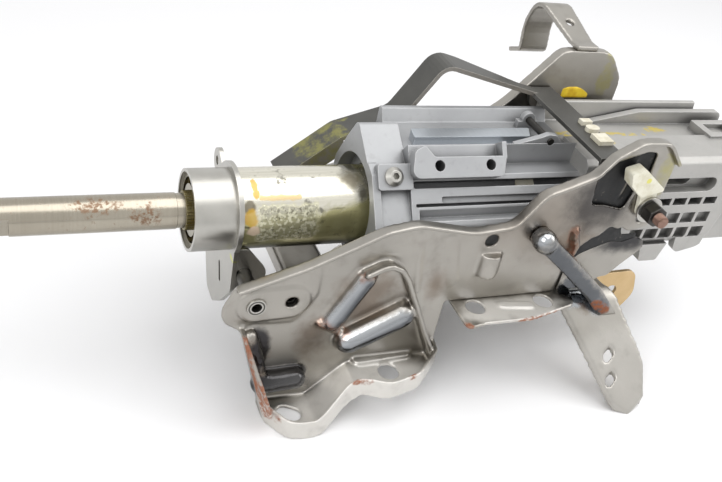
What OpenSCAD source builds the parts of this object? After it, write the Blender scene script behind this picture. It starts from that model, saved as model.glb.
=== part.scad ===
// Tilt and reach adjustable steering column, lying on its mounting feet.
// X runs along the steering axis towards the wheel and Z points up.
// The origin is on the steering axis, on the plain journal of the lower shaft.

/* [Shafts] */
// Diameter of the lower shaft
shaft_d = 22; // [20:0.5:23]
// Diameter of the lower shaft inside its bearing
seat_d = 21; // [19:0.5:22]
// Length of the lower shaft ahead of the origin
shaft_stub = 100; // [80:1:130]
// Length of the clamping flat at the lower end
flat_len = 56; // [30:1:70]
// Depth of the clamping flat
flat_depth = 4; // [2:0.5:6]
// Turn of the clamping flat about the axis
flat_turn = 115; // [0:5:180]
// Distance from the origin to the step down to the spline
spline_x = 115; // [100:1:130]
// Length of the sliding spline
spline_len = 185; // [170:1:190]
// Diameter over the spline keys
spline_d = 18; // [16:0.5:20]
// Height of a spline key
key_h = 2; // [1:0.5:2.5]
// Width of a spline key
key_w = 3; // [2:0.5:4]
// Number of spline keys
key_count = 6; // [3:1:8]
// Outer diameter of the sliding sleeve
sleeve_d = 27; // [25:0.5:30]
// Distance from the origin to the sleeve's open end
sleeve_x = 190; // [175:1:200]
// Diameter of the wheel spindle at the upper bearing
spindle_d = 20; // [17:0.5:22]
// Length of the wheel spindle beyond the upper bearing
spindle_len = 48; // [40:1:70]

/* [Lower bearing] */
// Distance from the origin to the open face of the bearing cup
cup_x = 55; // [45:1:60]
// Length of the bearing cup
cup_len = 25; // [22:0.5:30]
// Wall of the bearing cup
cup_wall = 2; // [1.5:0.25:3]
// Thickness of the serrated tolerance ring
ring_t = 1.5; // [1:0.25:2]
// Serrations round the tolerance ring
ring_teeth = 36; // [24:1:48]
// Ball diameter of both bearings
ball_d = 6; // [5:0.25:7]
// Balls in each bearing
ball_count = 14; // [10:1:15]
// Radial thickness of a bearing race
race_t = 4; // [3.5:0.25:5]
// Length of a bearing race
race_len = 12; // [9:0.5:14]

/* [Jacket] */
// Outer diameter of the jacket tube
tube_d = 50; // [48:0.5:52]
// Wall of the jacket tube
tube_wall = 2.5; // [1.5:0.25:4]
// Length of the jacket tube
tube_len = 217; // [205:1:225]
// Thickness of the pivot flange
flange_t = 3; // [2:0.5:4]
// Diameter of the passage through the pivot flange
flange_bore_d = 37; // [30:0.5:40]
// Half distance between the outer faces of the pivot wings
wing_y = 24; // [20:0.5:30]
// Diameter of the pivot tube
pivot_d = 10; // [8:0.5:12]
// Bore of the pivot tube
pivot_bore_d = 6.5; // [5:0.5:7.5]
// Distance of the pivot along the axis
pivot_x = 88; // [86:0.5:90]
// Height of the pivot below the axis
pivot_drop = 33; // [32:0.5:36]

/* [Console] */
// Distance between the inner faces of the side walls
wall_gap = 100; // [98:1:110]
// Thickness of the pressed steel sheet
sheet = 2.5; // [2:0.25:3]
// Reach of the turned lip along the top edge of a wall
lip = 6; // [4:0.5:8]
// Height of the steering axis above the floor
rest_h = 115; // [110:1:120]
// Drop from the axis to the base plate
base_drop = 44; // [43:0.5:48]
// Reach of the base plate beyond each wall
base_flange = 24; // [16:1:28]
// Rise of the near foot's inner lobe above the floor
lobe_rise = 25; // [18:1:30]
// Height of the upstanding rim round a foot
rim_h = 14; // [8:1:16]
// Thickness of the saddle sheet
saddle_t = 4; // [3:0.5:5]
// Half width across the tips of the saddle's feet
saddle_y = 110; // [100:1:120]
// Width of the hoop strap
hoop_w = 24; // [16:1:26]
// Thickness of the hoop strap
hoop_t = 3.5; // [2.5:0.5:5]
// Reach of the hoop strap beyond the far wall
hoop_reach = 60; // [50:1:80]
// Rise of the hoop strap from the wall to its bend
hoop_rise = 14; // [4:1:18]
// Drop of the hoop strap's free leg
hoop_drop = 41; // [30:1:50]
// Width of the brace bar
rod_d = 12; // [9:0.5:13]

/* [Clamp] */
// Diameter of the clamp bolt
bolt_d = 8; // [7:0.5:8.5]
// Distance of the clamp bolt along the axis
clamp_x = 348; // [346:0.5:350]
// Height of the clamp bolt above the axis
clamp_z = 25; // [24:0.5:27]
// Tilt of the column to either side, degrees
tilt_deg = 2; // [1:0.1:2]
// Width across the flats of the clamp nut
nut_af = 13; // [12:0.5:15]
// Diameter of the clamp washer
washer_d = 19; // [16:0.5:22]
// Thickness of the clamp washer
washer_t = 2; // [1:0.25:3]
// Thickness of the tilt slider
slider_t = 3; // [2:0.5:4]

/* [Housings] */
// Length of the slide housing
housing_len = 150; // [146:1:154]
// Length of the upper housing
upper_len = 160; // [150:1:170]
// Reach travel towards the lower end
reach_in = 25; // [10:1:28]
// Reach travel towards the wheel
reach_out = 25; // [10:1:26]
// Length of a guide bush
bush_len = 14; // [8:1:18]
// Radial thickness of a guide bush
bush_t = 3; // [2:0.25:3.5]
// Diameter of the black stop pin
stop_pin_d = 5; // [4:0.5:6]

/* [Lever] */
// Thickness of the lever strap
lever_t = 3; // [2:0.5:4]
// Width of the lever strap
strap_w = 22; // [18:0.5:24]
// Width of the bar that crosses over the housing
bar_w = 20; // [16:1:24]

/* [Fits] */
// Gap of pieces that are seated on each other
seat_gap = 0.05; // [0.02:0.01:0.1]
// Radial clearance of running fits
run_gap = 0.08; // [0.04:0.01:0.1]
// Gap between pieces that move past each other
clear_gap = 0.4; // [0.3:0.05:0.6]

/* [Hidden] */
$fn = 64;
arc_step = 15;
over = 1;

floor_z = -rest_h;
base_z = -base_drop;
pivot_z = -pivot_drop;
wall_in = wall_gap / 2;
wall_out = wall_in + sheet;
shaft_r = shaft_d / 2;
tube_r = tube_d / 2;

// Lower bearing, built outwards from the shaft
seat_r = seat_d / 2;
shoulder_x = cup_x - 7;
ring_r = seat_r + ring_t;
groove = 1;
inner_r = ring_r + race_t;
pitch_r = inner_r + ball_d / 2 - groove;
outer_r = pitch_r + ball_d / 2 + race_t / 2;
cup_r = outer_r + seat_gap + cup_wall;
race_x = cup_x + 2;
flange_x = cup_x + cup_len;
tube_x = flange_x + flange_t;
tube_end_x = tube_x + tube_len;

// Spline of the two shafts
spline_core_d = spline_d - 2 * key_h;
spline_end_x = spline_x + spline_len;
sleeve_bore_x = spline_end_x + reach_in + 5;

// Housings
housing_end_x = clamp_x - 38;
housing_x = housing_end_x - housing_len;
upper_end_x = housing_end_x + upper_len;
bush_bore_r = tube_r + run_gap;
bush_r = bush_bore_r + bush_t;
upper_race_x = upper_end_x - race_len - 3;
spindle_r = spindle_d / 2;
upper_inner_r = spindle_r + race_t;
upper_pitch_r = upper_inner_r + ball_d / 2 - groove;
upper_outer_r = upper_pitch_r + ball_d / 2 + race_t / 2;
upper_bore_r = sleeve_d / 2 + 3;
slot_w = bolt_d + 2 * clear_gap;
side_y = 44;

// Clamp stack outside the walls
stack_y = wall_out + clear_gap;
washer_y = stack_y + slider_t;
nut_y = washer_y + washer_t;
nut_t = 9;
bolt_tail = 6;
tilt_arm = norm([clamp_x - pivot_x, clamp_z - pivot_z]);
tilt_lean = atan2(clamp_z - pivot_z, clamp_x - pivot_x);
tilt_travel = tilt_arm * sin(tilt_deg);

// Lever
cheek_y = wall_in - 1.5;
bar_x = clamp_x - 47;
bar_z = clamp_z + 35;
arm_y = side_y - 5;

// Unit vector along v
function unit(v) = v / norm(v);

// The x and y of a point
function flat(p) = [p.x, p.y];

// Arc of radius r that rounds the corner b between a and c
function corner_arc(a, b, c, r) =
    let (u = unit(a - b),
        w = unit(c - b),
        half = acos(u * w) / 2,
        centre = b + unit(u + w) * r / sin(half),
        p = b + u * r / tan(half) - centre,
        q = b + w * r / tan(half) - centre,
        start = atan2(p.y, p.x),
        turn = (atan2(q.y, q.x) - start + 540) % 360 - 180,
        steps = max(1, ceil(abs(turn) / arc_step)))
    [for (i = [0:steps]) centre + r * [cos(start + turn * i / steps), sin(start + turn * i / steps)]];

// Points [x, y, radius] as an outline with rounded corners
function rounded(pts, closed = true) =
    let (n = len(pts))
    [for (i = [0:n - 1])
        let (open_end = !closed && (i == 0 || i == n - 1))
        each (pts[i][2] == 0 || open_end) ? [flat(pts[i])]
            : corner_arc(flat(pts[(i + n - 1) % n]), flat(pts[i]), flat(pts[(i + 1) % n]), pts[i][2])];

// Left normal of the step from a to b
function left(a, b) = let (d = unit(b - a)) [-d.y, d.x];

// Open path moved by d to its left, with its bend radii changed to match
function beside(path, d) =
    let (n = len(path))
    [for (i = [0:n - 1])
        let (p = flat(path[i]),
            before = i == 0 ? left(p, flat(path[1])) : left(flat(path[i - 1]), p),
            after = i == n - 1 ? before : left(p, flat(path[i + 1])),
            turn = sign(before.x * after.y - before.y * after.x))
        [each p + d * (before + after) / (1 + before * after), max(0.1, path[i][2] - d * turn)]];

// Outline of a sheet of thickness t bent along an open path, to the left of it
function bent(path, t) =
    let (back = rounded(beside(path, t), false))
    concat(rounded(beside(path, 0), false), [for (i = [len(back) - 1:-1:0]) back[i]]);

// Outline in X and Z, extruded along Y from y
module plate_y(y, t) {
    translate([0, y + t, 0]) rotate([90, 0, 0]) linear_extrude(t) children();
}

// Outline in Y and Z, extruded along X from x
module plate_x(x, t) {
    translate([x, 0, 0]) rotate([90, 0, 90]) linear_extrude(t) children();
}

// Outline in X and Y, extruded along Z from z
module plate_z(z, t) {
    translate([0, 0, z]) linear_extrude(t) children();
}

// Round bar along X from x
module rod_x(x, len, r, r2 = undef) {
    translate([x, 0, 0]) rotate([0, 90, 0]) cylinder(len, r, is_undef(r2) ? r : r2);
}

// Round bar along Y from the point p
module rod_y(p, len, r, r2 = undef) {
    translate(p) rotate([-90, 0, 0]) cylinder(len, r, is_undef(r2) ? r : r2);
}

// Tube along X from x
module tube_along_x(x, len, r, bore_r) {
    difference() {
        rod_x(x, len, r);
        rod_x(x - over, len + 2 * over, bore_r);
    }
}

// Hexagonal prism along Y from the point p
module hex_y(p, len, across_flats) {
    translate(p) rotate([-90, 0, 0]) cylinder(len, r = across_flats / sqrt(3), $fn = 6);
}

// Flat outline of a slot of width w between two points; its sides run just inside its round ends
module slot_2d(a, b, w) {
    side = w / 2 - 0.02;
    for (p = [a, b]) translate(p) circle(w / 2);
    polygon([for (s = [[a, 1], [b, 1], [b, -1], [a, -1]]) s[0] + left(a, b) * s[1] * side]);
}

// Place along the wall, from 0 at the pivot to 1 at the clamp
function span(k) = pivot_x + k * (clamp_x - pivot_x);

// Side walls of the console
wall_nose = [[pivot_x - 21, pivot_z - 5, 12], [pivot_x - 13, pivot_z + 14, 8]];
near_crown = 51;
far_crown = 62;
near_top = concat(wall_nose, [
    [span(0.1), pivot_z + 28, 40], [span(0.28), pivot_z + 51, 24], [span(0.36), pivot_z + 55, 22],
    [span(0.515), pivot_z + 47, 30], [span(0.615), clamp_z - 8, 10], [span(0.672), clamp_z + 15, 14],
    [span(0.8), clamp_z + 27.5, 10], [span(0.835), clamp_z + 40, 8],
    [clamp_x - 25, clamp_z + near_crown, 12], [clamp_x - 4, clamp_z + near_crown, 12],
    [clamp_x + 11, clamp_z + near_crown - 17, 10]]);
far_top = concat(wall_nose, [
    [span(0.15), pivot_z + 14, 30], [span(0.31), pivot_z + 28, 24], [span(0.515), pivot_z + 40, 30],
    [span(0.623), clamp_z - 11, 18], [span(0.777), clamp_z + 22, 30],
    [clamp_x - 24, clamp_z + far_crown, 12], [clamp_x + 17, clamp_z + far_crown, 14],
    [clamp_x + 32, clamp_z + far_crown - 20, 12]]);
far_right = [
    [clamp_x + 32, clamp_z, 20], [clamp_x + 11, clamp_z - 22, 10], [clamp_x - 20, clamp_z - 36, 10],
    [clamp_x - 42, clamp_z - 46, 8], [clamp_x - 48, base_z, 0]];
// Ragged lower edge of the near wall under the clamp
near_right = [
    [clamp_x + 11, clamp_z - 17, 4], [clamp_x + 3, clamp_z - 20, 3], [clamp_x - 5, clamp_z - 21, 3],
    [clamp_x - 11, clamp_z - 17, 3], [clamp_x - 16, clamp_z - 18, 2], [clamp_x - 21, clamp_z - 16, 3],
    [clamp_x - 27, clamp_z - 23, 3], [clamp_x - 33, clamp_z - 25, 3], [clamp_x - 38, clamp_z - 30, 3],
    [clamp_x - 45, clamp_z - 38, 4], [clamp_x - 48, base_z, 0]];

// Plan of the near foot, from the wall round its rim and back
foot_x = pivot_x + 10;
foot_end_x = foot_x + 119;
near_plan = [
    [foot_x, -wall_out, 0], [foot_x, -70, 10], [foot_x + 12, -89, 14], [foot_x + 33, -89, 16],
    [foot_x + 53, -79, 16], [foot_x + 74, -89, 14], [foot_end_x - 22, -83, 16], [foot_end_x, -62, 10],
    [foot_end_x, -wall_out, 0]];
lobe_z = floor_z + lobe_rise;
foot_step = [
    [foot_x - 4, floor_z, 0], [foot_x + 34, floor_z, 8], [foot_x + 34 + lobe_rise, lobe_z, 8],
    [foot_end_x + 4, lobe_z, 0]];
near_bottom = [
    [foot_end_x, base_z, 0], [foot_end_x, lobe_z + sheet, 0], [foot_x + 34 + lobe_rise, lobe_z + sheet, 0],
    [foot_x + 34, floor_z + sheet, 0], [foot_x + 1, floor_z + sheet, 0], [foot_x - 15, pivot_z - 22, 6],
    [pivot_x - 17, pivot_z - 14, 5]];

// Plan of the far foot
far_foot_x = foot_end_x - 25;
far_foot_w = 58;
far_foot_y = 90;
far_plan = [
    [far_foot_x, wall_out, 0], [far_foot_x, far_foot_y - 8, 8], [far_foot_x + 12, far_foot_y, 8],
    [far_foot_x + far_foot_w - 12, far_foot_y, 8], [far_foot_x + far_foot_w, far_foot_y - 8, 8],
    [far_foot_x + far_foot_w, wall_out, 0]];
base_x = foot_end_x + 4;
base_end_x = clamp_x - 18;
far_bottom = [
    [far_foot_x + far_foot_w, base_z, 0], [far_foot_x + far_foot_w, floor_z + sheet, 0],
    [far_foot_x, floor_z + sheet, 0], [far_foot_x, base_z + 4, 0], [pivot_x + 18, pivot_z - 16, 8],
    [pivot_x - 17, pivot_z - 14, 5]];

// Window torn in the near wall beside the clamp
clamp_window = [
    [clamp_x - 44, clamp_z + 3, 4], [clamp_x - 46, clamp_z + 24, 6], [clamp_x - 38, clamp_z + 33, 5],
    [clamp_x - 15, clamp_z + 41, 4], [clamp_x - 7, clamp_z + 40, 3], [clamp_x - 7, clamp_z + 25, 3],
    [clamp_x - 14, clamp_z + 11, 4], [clamp_x - 17, clamp_z - 2, 3], [clamp_x - 32, clamp_z + 2, 4]];

// Slot that lets the clamp bolt swing with the tilt
module tilt_slot() {
    reach = (tilt_travel + clear_gap) * [-sin(tilt_lean), cos(tilt_lean)];
    slot_2d([clamp_x, clamp_z] - reach, [clamp_x, clamp_z] + reach, slot_w);
}

// Wall in X and Z with its pivot hole and tilt slot
module wall_outline(top, right, bottom) {
    difference() {
        polygon(rounded(concat(top, right, bottom)));
        translate([pivot_x, pivot_z]) circle(pivot_d / 2 + seat_gap);
        tilt_slot();
    }
}

// Turned lip along the top edge of a wall
module wall_lip(top) {
    polygon(bent([for (i = [1:len(top) - 1]) top[i]], -sheet));
}

panel_t = 1;
pad_t = 1;
pad_y = wall_out + panel_t + pad_t;
pad_hole = [pivot_x + 22, pivot_z + 1];
pad_hole_d = 8;
emboss_hole_d = 9;
panel = [[pivot_x - 13, pivot_z + 3, 6], [pivot_x - 7, pivot_z + 12, 6], [pivot_x + 27, pivot_z + 25, 10],
    [pivot_x + 37, pivot_z + 30, 4], [pivot_x + 38, pivot_z + 4, 12], [pivot_x + 26, pivot_z - 15, 8],
    [pivot_x - 4, pivot_z - 14, 8]];

// Round bead with tapered ends on the near wall, between two points in X and Z
module wall_bead(a, b, r) {
    len = norm(b - a);
    taper = 1;
    tip_r = r - taper;
    lean = 90 - atan2(b.y - a.y, b.x - a.x);
    translate([a.x, 0.8 * sheet - wall_out - r, a.y]) rotate([0, lean, 0]) union() {
        cylinder(len, r, r);
        translate([0, 0, -taper]) cylinder(taper, tip_r, r);
        translate([0, 0, len]) cylinder(taper, r, tip_r);
    }
}

module near_wall() {
    color("darkgray") difference() {
        union() {
            plate_y(-wall_out, sheet) difference() {
                wall_outline(near_top, near_right, near_bottom);
                polygon(rounded(clamp_window));
            }
            plate_y(-wall_out - lip, lip + over) wall_lip(near_top);
            // Raised panel and embossed pad round the pivot
            plate_y(-wall_out - panel_t, panel_t + over) difference() {
                polygon(rounded(panel));
                translate([pivot_x, pivot_z]) circle(pivot_d / 2 + seat_gap);
            }
            plate_y(-pad_y, pad_t + over) difference() {
                slot_2d([pivot_x, pivot_z], pad_hole, 23);
                translate([pivot_x, pivot_z]) circle(pivot_d / 2 + seat_gap);
            }
            // Thick beads in the hollow of the foot
            wall_bead([foot_x + 44, pivot_z - 14], [foot_x + 55, pivot_z + 11], 5);
            wall_bead([foot_x + 58, lobe_z + 26], [foot_end_x - 34, lobe_z + 40], 7);
            // Pressed lines of the middle stretch
            plate_y(-wall_out - panel_t, panel_t + over) {
                slot_2d([span(0.46), 5], [span(0.49), base_z + 18], 10);
                slot_2d([span(0.375), 12], [span(0.405), base_z + 12], 3);
            }
            // Curled tab
            difference() {
                translate([span(0.585), 1 - wall_out, base_z + 21]) cylinder(17, d = 16);
                translate([span(0.585) - 10, 1.5 - wall_out, base_z]) cube([20, 20, 60]);
            }
        }
        rod_y([pad_hole.x, -wall_out - 5, pad_hole.y], 10, pad_hole_d / 2);
        rod_y([span(0.577), -wall_out - 5, 3], 10, emboss_hole_d / 2);
    }
}

// Closed nut pressed in behind the pad's hole
module rivet_nut() {
    r = pad_hole_d / 2 + 2;
    len = 11;
    color("dimgray") difference() {
        rod_y([pad_hole.x, -wall_in, pad_hole.y], len, r);
        rod_y([pad_hole.x, -wall_in - over, pad_hole.y], len - 2, pad_hole_d / 2 - 0.8);
    }
}

// Stiffener that stands on the base plate inside the near wall's ragged edge
module wall_stiffener() {
    outline = [[clamp_x - 43, base_z, 0], [clamp_x - 20, base_z, 0], [clamp_x - 12, base_z + 8, 4],
        [clamp_x - 5, base_z + 9, 3], [clamp_x + 4, base_z + 19, 4], [clamp_x + 17, base_z + 32, 5],
        [clamp_x + 14, clamp_z - 31, 4], [clamp_x + 6, clamp_z - 28, 4], [clamp_x - 4, clamp_z - 31, 3],
        [clamp_x - 14, clamp_z - 30, 3], [clamp_x - 24, clamp_z - 34, 3], [clamp_x - 35, clamp_z - 39, 5],
        [clamp_x - 43, clamp_z - 45, 4]];
    color("slategray") plate_y(-wall_in, sheet) polygon(rounded(outline));
}

module far_wall() {
    color("darkgray") union() {
        plate_y(wall_in, sheet) wall_outline(far_top, far_right, far_bottom);
        plate_y(wall_out - over, lip + over) wall_lip(far_top);
    }
}

base_hole_d = 13;
base_hole_y = 60;

module base_plate() {
    edge = wall_out + base_flange;
    plan = [
        [base_x, -edge - 3, 4], [base_x + 16, -edge, 8], [base_x + 50, -edge, 20],
        [base_end_x - 20, -edge + 10, 8], [base_end_x - 14, -wall_out + 4, 4], [base_end_x, -wall_in + 8, 4],
        [base_end_x, wall_in - 8, 4], [base_end_x - 22, wall_out - 4, 4], [base_end_x - 30, edge - 12, 6],
        [base_x + 50, edge, 20], [far_foot_x + far_foot_w + 4, edge, 4],
        [far_foot_x + far_foot_w + 4, wall_in - 4, 0], [base_x, wall_in - 4, 0]];
    color("silver") difference() {
        union() {
            plate_z(base_z - sheet, sheet) polygon(rounded(plan));
            // Rib pressed into the near flange
            plate_z(base_z - over, over + 1.5)
                slot_2d([base_x + 34, -base_hole_y - 1], [base_x + 54, -base_hole_y - 4], 6);
        }
        for (x = [base_x + 15, base_x + 67])
            translate([x, -base_hole_y, base_z - 2 * sheet]) cylinder(4 * sheet, d = base_hole_d);
        translate([base_x + 67, base_hole_y, base_z - 2 * sheet]) cylinder(4 * sheet, d = base_hole_d);
        // Window under the housing
        plate_z(base_z - 2 * sheet, 4 * sheet) slot_2d([base_x + 30, 0], [base_x + 70, 0], 40);
    }
}

bridge_x = pivot_x + 30;
bridge_w = 32;
bridge_z = pivot_z - 8;

module front_bridge() {
    path = [[bridge_x, bridge_z - 10, 0], [bridge_x, bridge_z, 4], [bridge_x + bridge_w, bridge_z, 4],
        [bridge_x + bridge_w, bridge_z - 10, 0]];
    color("lightgray") plate_y(-wall_in, wall_gap) polygon(bent(path, -sheet));
}

foot_slot = [foot_x + 18, -68];
foot_hole = [foot_end_x - 36, -66];
foot_hole_d = 14;

module near_foot() {
    gusset = [[foot_x + 54, pivot_z + 22, 0], [foot_x + 68, pivot_z + 30, 8], [foot_x + 82, pivot_z + 20, 14],
        [foot_end_x - 11, lobe_z + 24, 20], [foot_end_x, lobe_z, 0]];
    heel = [[foot_x + 1, floor_z, 0], [foot_x - 18, pivot_z - 17, 0]];
    color("silver") difference() {
        union() {
            intersection() {
                plate_z(floor_z - over, rest_h) polygon(rounded(near_plan));
                plate_y(-rest_h, rest_h - wall_out) polygon(bent(foot_step, sheet));
            }
            intersection() {
                plate_z(floor_z - over, rest_h) polygon(bent(near_plan, sheet));
                plate_y(-rest_h, rest_h - wall_out) polygon(bent(foot_step, rim_h));
            }
            // Sloping heel
            intersection() {
                plate_y(-rest_h, rest_h - wall_out) polygon(bent(heel, -sheet));
                plate_x(0, foot_end_x) polygon([[-wall_out, 10], [-wall_out - 5, 0], [-64, base_z],
                    [-72, floor_z + 12], [-72, floor_z], [-wall_out, floor_z]]);
            }
            // Gusset that runs up the wall
            intersection() {
                plate_y(-rest_h, rest_h - wall_out) polygon(bent(gusset, -sheet));
                plate_x(0, 2 * foot_end_x) polygon([[-wall_out, 10], [-wall_out - 5, 0], [-61, base_z],
                    [-61, floor_z], [-wall_out, floor_z]]);
            }
            // Raised pad behind the round hole
            intersection() {
                plate_z(lobe_z + sheet - over, over + 3)
                    slot_2d([foot_x + 66, -54], [foot_end_x - 20, -52], 10);
                translate([0, -rest_h, floor_z]) cube([300, rest_h - wall_out, rest_h]);
            }
        }
        plate_z(floor_z - over, 2 * over + sheet)
            slot_2d(foot_slot - [2.5, -1.5], foot_slot + [2.5, -1.5], 10);
        translate([foot_hole.x, foot_hole.y, lobe_z - over]) cylinder(2 * over + sheet, d = foot_hole_d);
    }
}

module far_foot() {
    color("silver") difference() {
        union() {
            plate_z(floor_z, sheet) polygon(rounded(far_plan));
            plate_z(floor_z, rim_h) polygon(bent(far_plan, -sheet));
        }
        translate([far_foot_x + far_foot_w / 2, foot_hole_d / 2 + wall_out + 10, floor_z - over])
            cylinder(2 * over + sheet, d = foot_hole_d);
    }
}

saddle_x = clamp_x - 40;
saddle_top = base_z - sheet;
saddle_deg = atan2(saddle_top - floor_z, saddle_y - wall_out);
saddle_edge = [
    [saddle_x, -wall_out - 4, 8], [saddle_x + 35, -saddle_y + 7, 10], [saddle_x + 48, -saddle_y, 6],
    [saddle_x + 63, -saddle_y + 8, 8], [saddle_x + 66, -saddle_y + 24, 12],
    [saddle_x + 40, -wall_in + 6, 14]];

// Outline of one foot of the saddle and half of its bridge
module saddle_half() {
    polygon(rounded(concat([[saddle_x, over, 0]], saddle_edge, [[saddle_x + 40, over, 0]])));
}

// Lip turned down along the outer edge of a saddle foot
module saddle_lip() {
    polygon(bent([for (i = [3:5]) saddle_edge[i]], sheet));
}

module rear_saddle() {
    slope = tan(saddle_deg);
    drop = 6;
    path = [[-saddle_y - drop, floor_z - drop * slope, 0], [-wall_out, saddle_top, 14],
        [wall_out, saddle_top, 14], [saddle_y + drop, floor_z - drop * slope, 0]];
    color("gainsboro") difference() {
        intersection() {
            union() {
                intersection() {
                    plate_x(saddle_x - over, 80) polygon(bent(path, -saddle_t));
                    plate_z(floor_z - over, rest_h) {
                        saddle_half();
                        mirror([0, 1]) saddle_half();
                    }
                }
                intersection() {
                    plate_x(saddle_x - over, 80) polygon(bent(path, -saddle_t - 5));
                    plate_z(floor_z - over, rest_h) {
                        saddle_lip();
                        mirror([0, 1]) saddle_lip();
                    }
                }
            }
            translate([0, -2 * saddle_y, floor_z]) cube([500, 4 * saddle_y, rest_h]);
        }
        for (side = [-1, 1], at = [[36, 28], [36, 17]])
            plate_z(floor_z - over, rest_h)
                slot_2d([saddle_x + at[0] - 2, side * (saddle_y - at[1])],
                    [saddle_x + at[0] + 2, side * (saddle_y - at[1] - 2)], 5);
    }
}

// Stout bar welded along the wall from a knob down to the ear of the saddle
module brace_rod() {
    knob_r = rod_d / 2 + 1.5;
    path = [[clamp_x - 76, clamp_z - 19, 0], [clamp_x - 50, clamp_z - 40, 20],
        [clamp_x - 22, clamp_z - 64, 12], [clamp_x + 4, clamp_z - 92, 0]];
    color("slategray") difference() {
        union() {
            plate_y(-wall_out - rod_d, rod_d) polygon(bent(beside(path, -rod_d / 2), rod_d));
            rod_y([path[0].x, -wall_out - rod_d - 1, path[0].y], rod_d + 1, knob_r - 2, knob_r);
        }
        // Flat where it lies on the ear
        translate([0, -wall_out, saddle_top]) rotate([saddle_deg, 0, 0])
            translate([clamp_x - 100, -100, -50]) cube([150, 200, 50 + seat_gap]);
    }
}

module hoop_strap() {
    x = clamp_x - 20;
    taper = 7;
    seat = clamp_z + far_crown;
    bend = seat + hoop_rise;
    tip = wall_out + hoop_reach;
    path = [[wall_in + 0.5, seat, 0], [wall_out + lip + 2, seat, 20], [tip - 8, bend, 10],
        [tip, bend - hoop_drop / 2, 22], [tip - 4, bend - hoop_drop, 4], [tip + 11, bend - hoop_drop - 7, 0]];
    color("gray") difference() {
        intersection() {
            plate_x(x, hoop_w) polygon(bent(path, hoop_t));
            plate_z(floor_z, 3 * rest_h) polygon([[x + taper, wall_in], [x, tip - 12], [x, tip + 20],
                [x + hoop_w + over, tip + 20], [x + hoop_w + over, wall_in]]);
        }
        translate([x + hoop_w / 2 + 2, wall_out + hoop_reach * 0.45, seat - over])
            cylinder(hoop_t + hoop_rise + 2 * over, d = 6);
    }
}

// Rounded stay that hangs under the saddle
module stay_plate() {
    top = saddle_top - saddle_t;
    outline = [[saddle_x + 10, top, 0], [saddle_x + 42, top, 0], [saddle_x + 48, top + 3, 4],
        [saddle_x + 78, top + 4, 10], [saddle_x + 85, top - 18, 14], [saddle_x + 75, top - 36, 12],
        [saddle_x + 48, top - 30, 14], [saddle_x + 20, top - 22, 12]];
    color("tan") plate_y(-wall_in + 16, sheet) difference() {
        polygon(rounded(outline));
        translate([saddle_x + 62, top - 14]) circle(5);
    }
}

module pivot_tube() {
    head_r = pivot_d / 2 + 1.2;
    head_y = pad_y;
    color("gray") difference() {
        union() {
            rod_y([pivot_x, -head_y - 1, pivot_z], 2 * head_y + 2, pivot_d / 2);
            rod_y([pivot_x, -head_y - 1.5, pivot_z], 1.5, head_r - 0.5, head_r);
            rod_y([pivot_x, wall_out, pivot_z], 1.5, head_r, head_r - 0.5);
        }
        rod_y([pivot_x, -2 * wall_out, pivot_z], 4 * wall_out, pivot_bore_d / 2);
    }
}

module jacket_tube() {
    color("khaki") tube_along_x(tube_x, tube_len, tube_r, tube_r - tube_wall);
}

module pivot_flange() {
    lobe = [cup_r + 8, 14];
    tongue = [[-wing_y, 0, 0], [-wing_y - 2, -44, 6], [-8, -66, 10], [8, -79, 8], [24, -78, 8], [36, -58, 12],
        [wing_y + 5, 0, 0]];
    wing_in = wing_y - sheet;
    wing_top = -clear_gap - sqrt(max(0, pow(tube_r + clear_gap, 2) - pow(wing_in, 2)));
    wing_low = pivot_z - 10;
    wing = [[flange_x, wing_top, 0], [flange_x, wing_low, 0], [pivot_x + 4, wing_low - 1, 6],
        [pivot_x + 18, pivot_z - 2, 8], [tube_x + 6, wing_top, 4]];
    color("lightgray") difference() {
        union() {
            plate_x(flange_x, flange_t) {
                circle(cup_r + 4);
                slot_2d([0, 0], lobe, 16);
                polygon(rounded(tongue));
                translate([-wing_y, wing_low]) square([2 * wing_y, wing_top - wing_low]);
            }
            for (y = [-wing_y, wing_in]) plate_y(y, sheet) polygon(rounded(wing));
        }
        rod_x(flange_x - over, flange_t + 2 * over, flange_bore_d / 2);
        rod_y([pivot_x, -wall_in, pivot_z], wall_gap, pivot_d / 2 + run_gap);
        plate_x(flange_x - over, flange_t + 2 * over) {
            slot_2d([-2, -52], [2, -43], 4);
            translate(lobe) circle(3);
        }
    }
}

module bearing_cup() {
    stop_x = race_x + race_len + seat_gap;
    color("silver") union() {
        tube_along_x(cup_x, cup_len, cup_r, outer_r + seat_gap);
        tube_along_x(stop_x, flange_x - stop_x, cup_r, pitch_r);
    }
}

// Ring with a ball groove, at x with its ball circle at ball_r
module race(x, r, bore_r, ball_r) {
    difference() {
        tube_along_x(x, race_len, r, bore_r);
        translate([x + race_len / 2, 0, 0]) rotate([0, 90, 0]) rotate_extrude()
            translate([ball_r, 0]) circle(ball_d / 2 + seat_gap);
    }
}

// Ring of balls centred on a race at x
module balls(x, ball_r) {
    for (i = [0:ball_count - 1])
        rotate([360 * i / ball_count, 0, 0]) translate([x + race_len / 2, 0, ball_r]) sphere(ball_d / 2);
}

module lower_outer_race() {
    color("silver") race(race_x, outer_r, outer_r - race_t / 2 - groove, pitch_r);
}

module lower_balls() {
    color("white") balls(race_x, pitch_r);
}

module lower_inner_race() {
    color("silver") race(race_x, inner_r, ring_r + seat_gap, pitch_r);
}

module tolerance_ring() {
    len = race_len + 5;
    tooth = 0.6;
    outline = [for (i = [0:2 * ring_teeth - 1])
        (ring_r - (i % 2) * tooth) * [cos(180 * i / ring_teeth), sin(180 * i / ring_teeth)]];
    color("olive") difference() {
        plate_x(race_x - 4, len) polygon(outline);
        rod_x(race_x - 4 - over, len + 2 * over, seat_r + seat_gap);
    }
}

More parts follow.
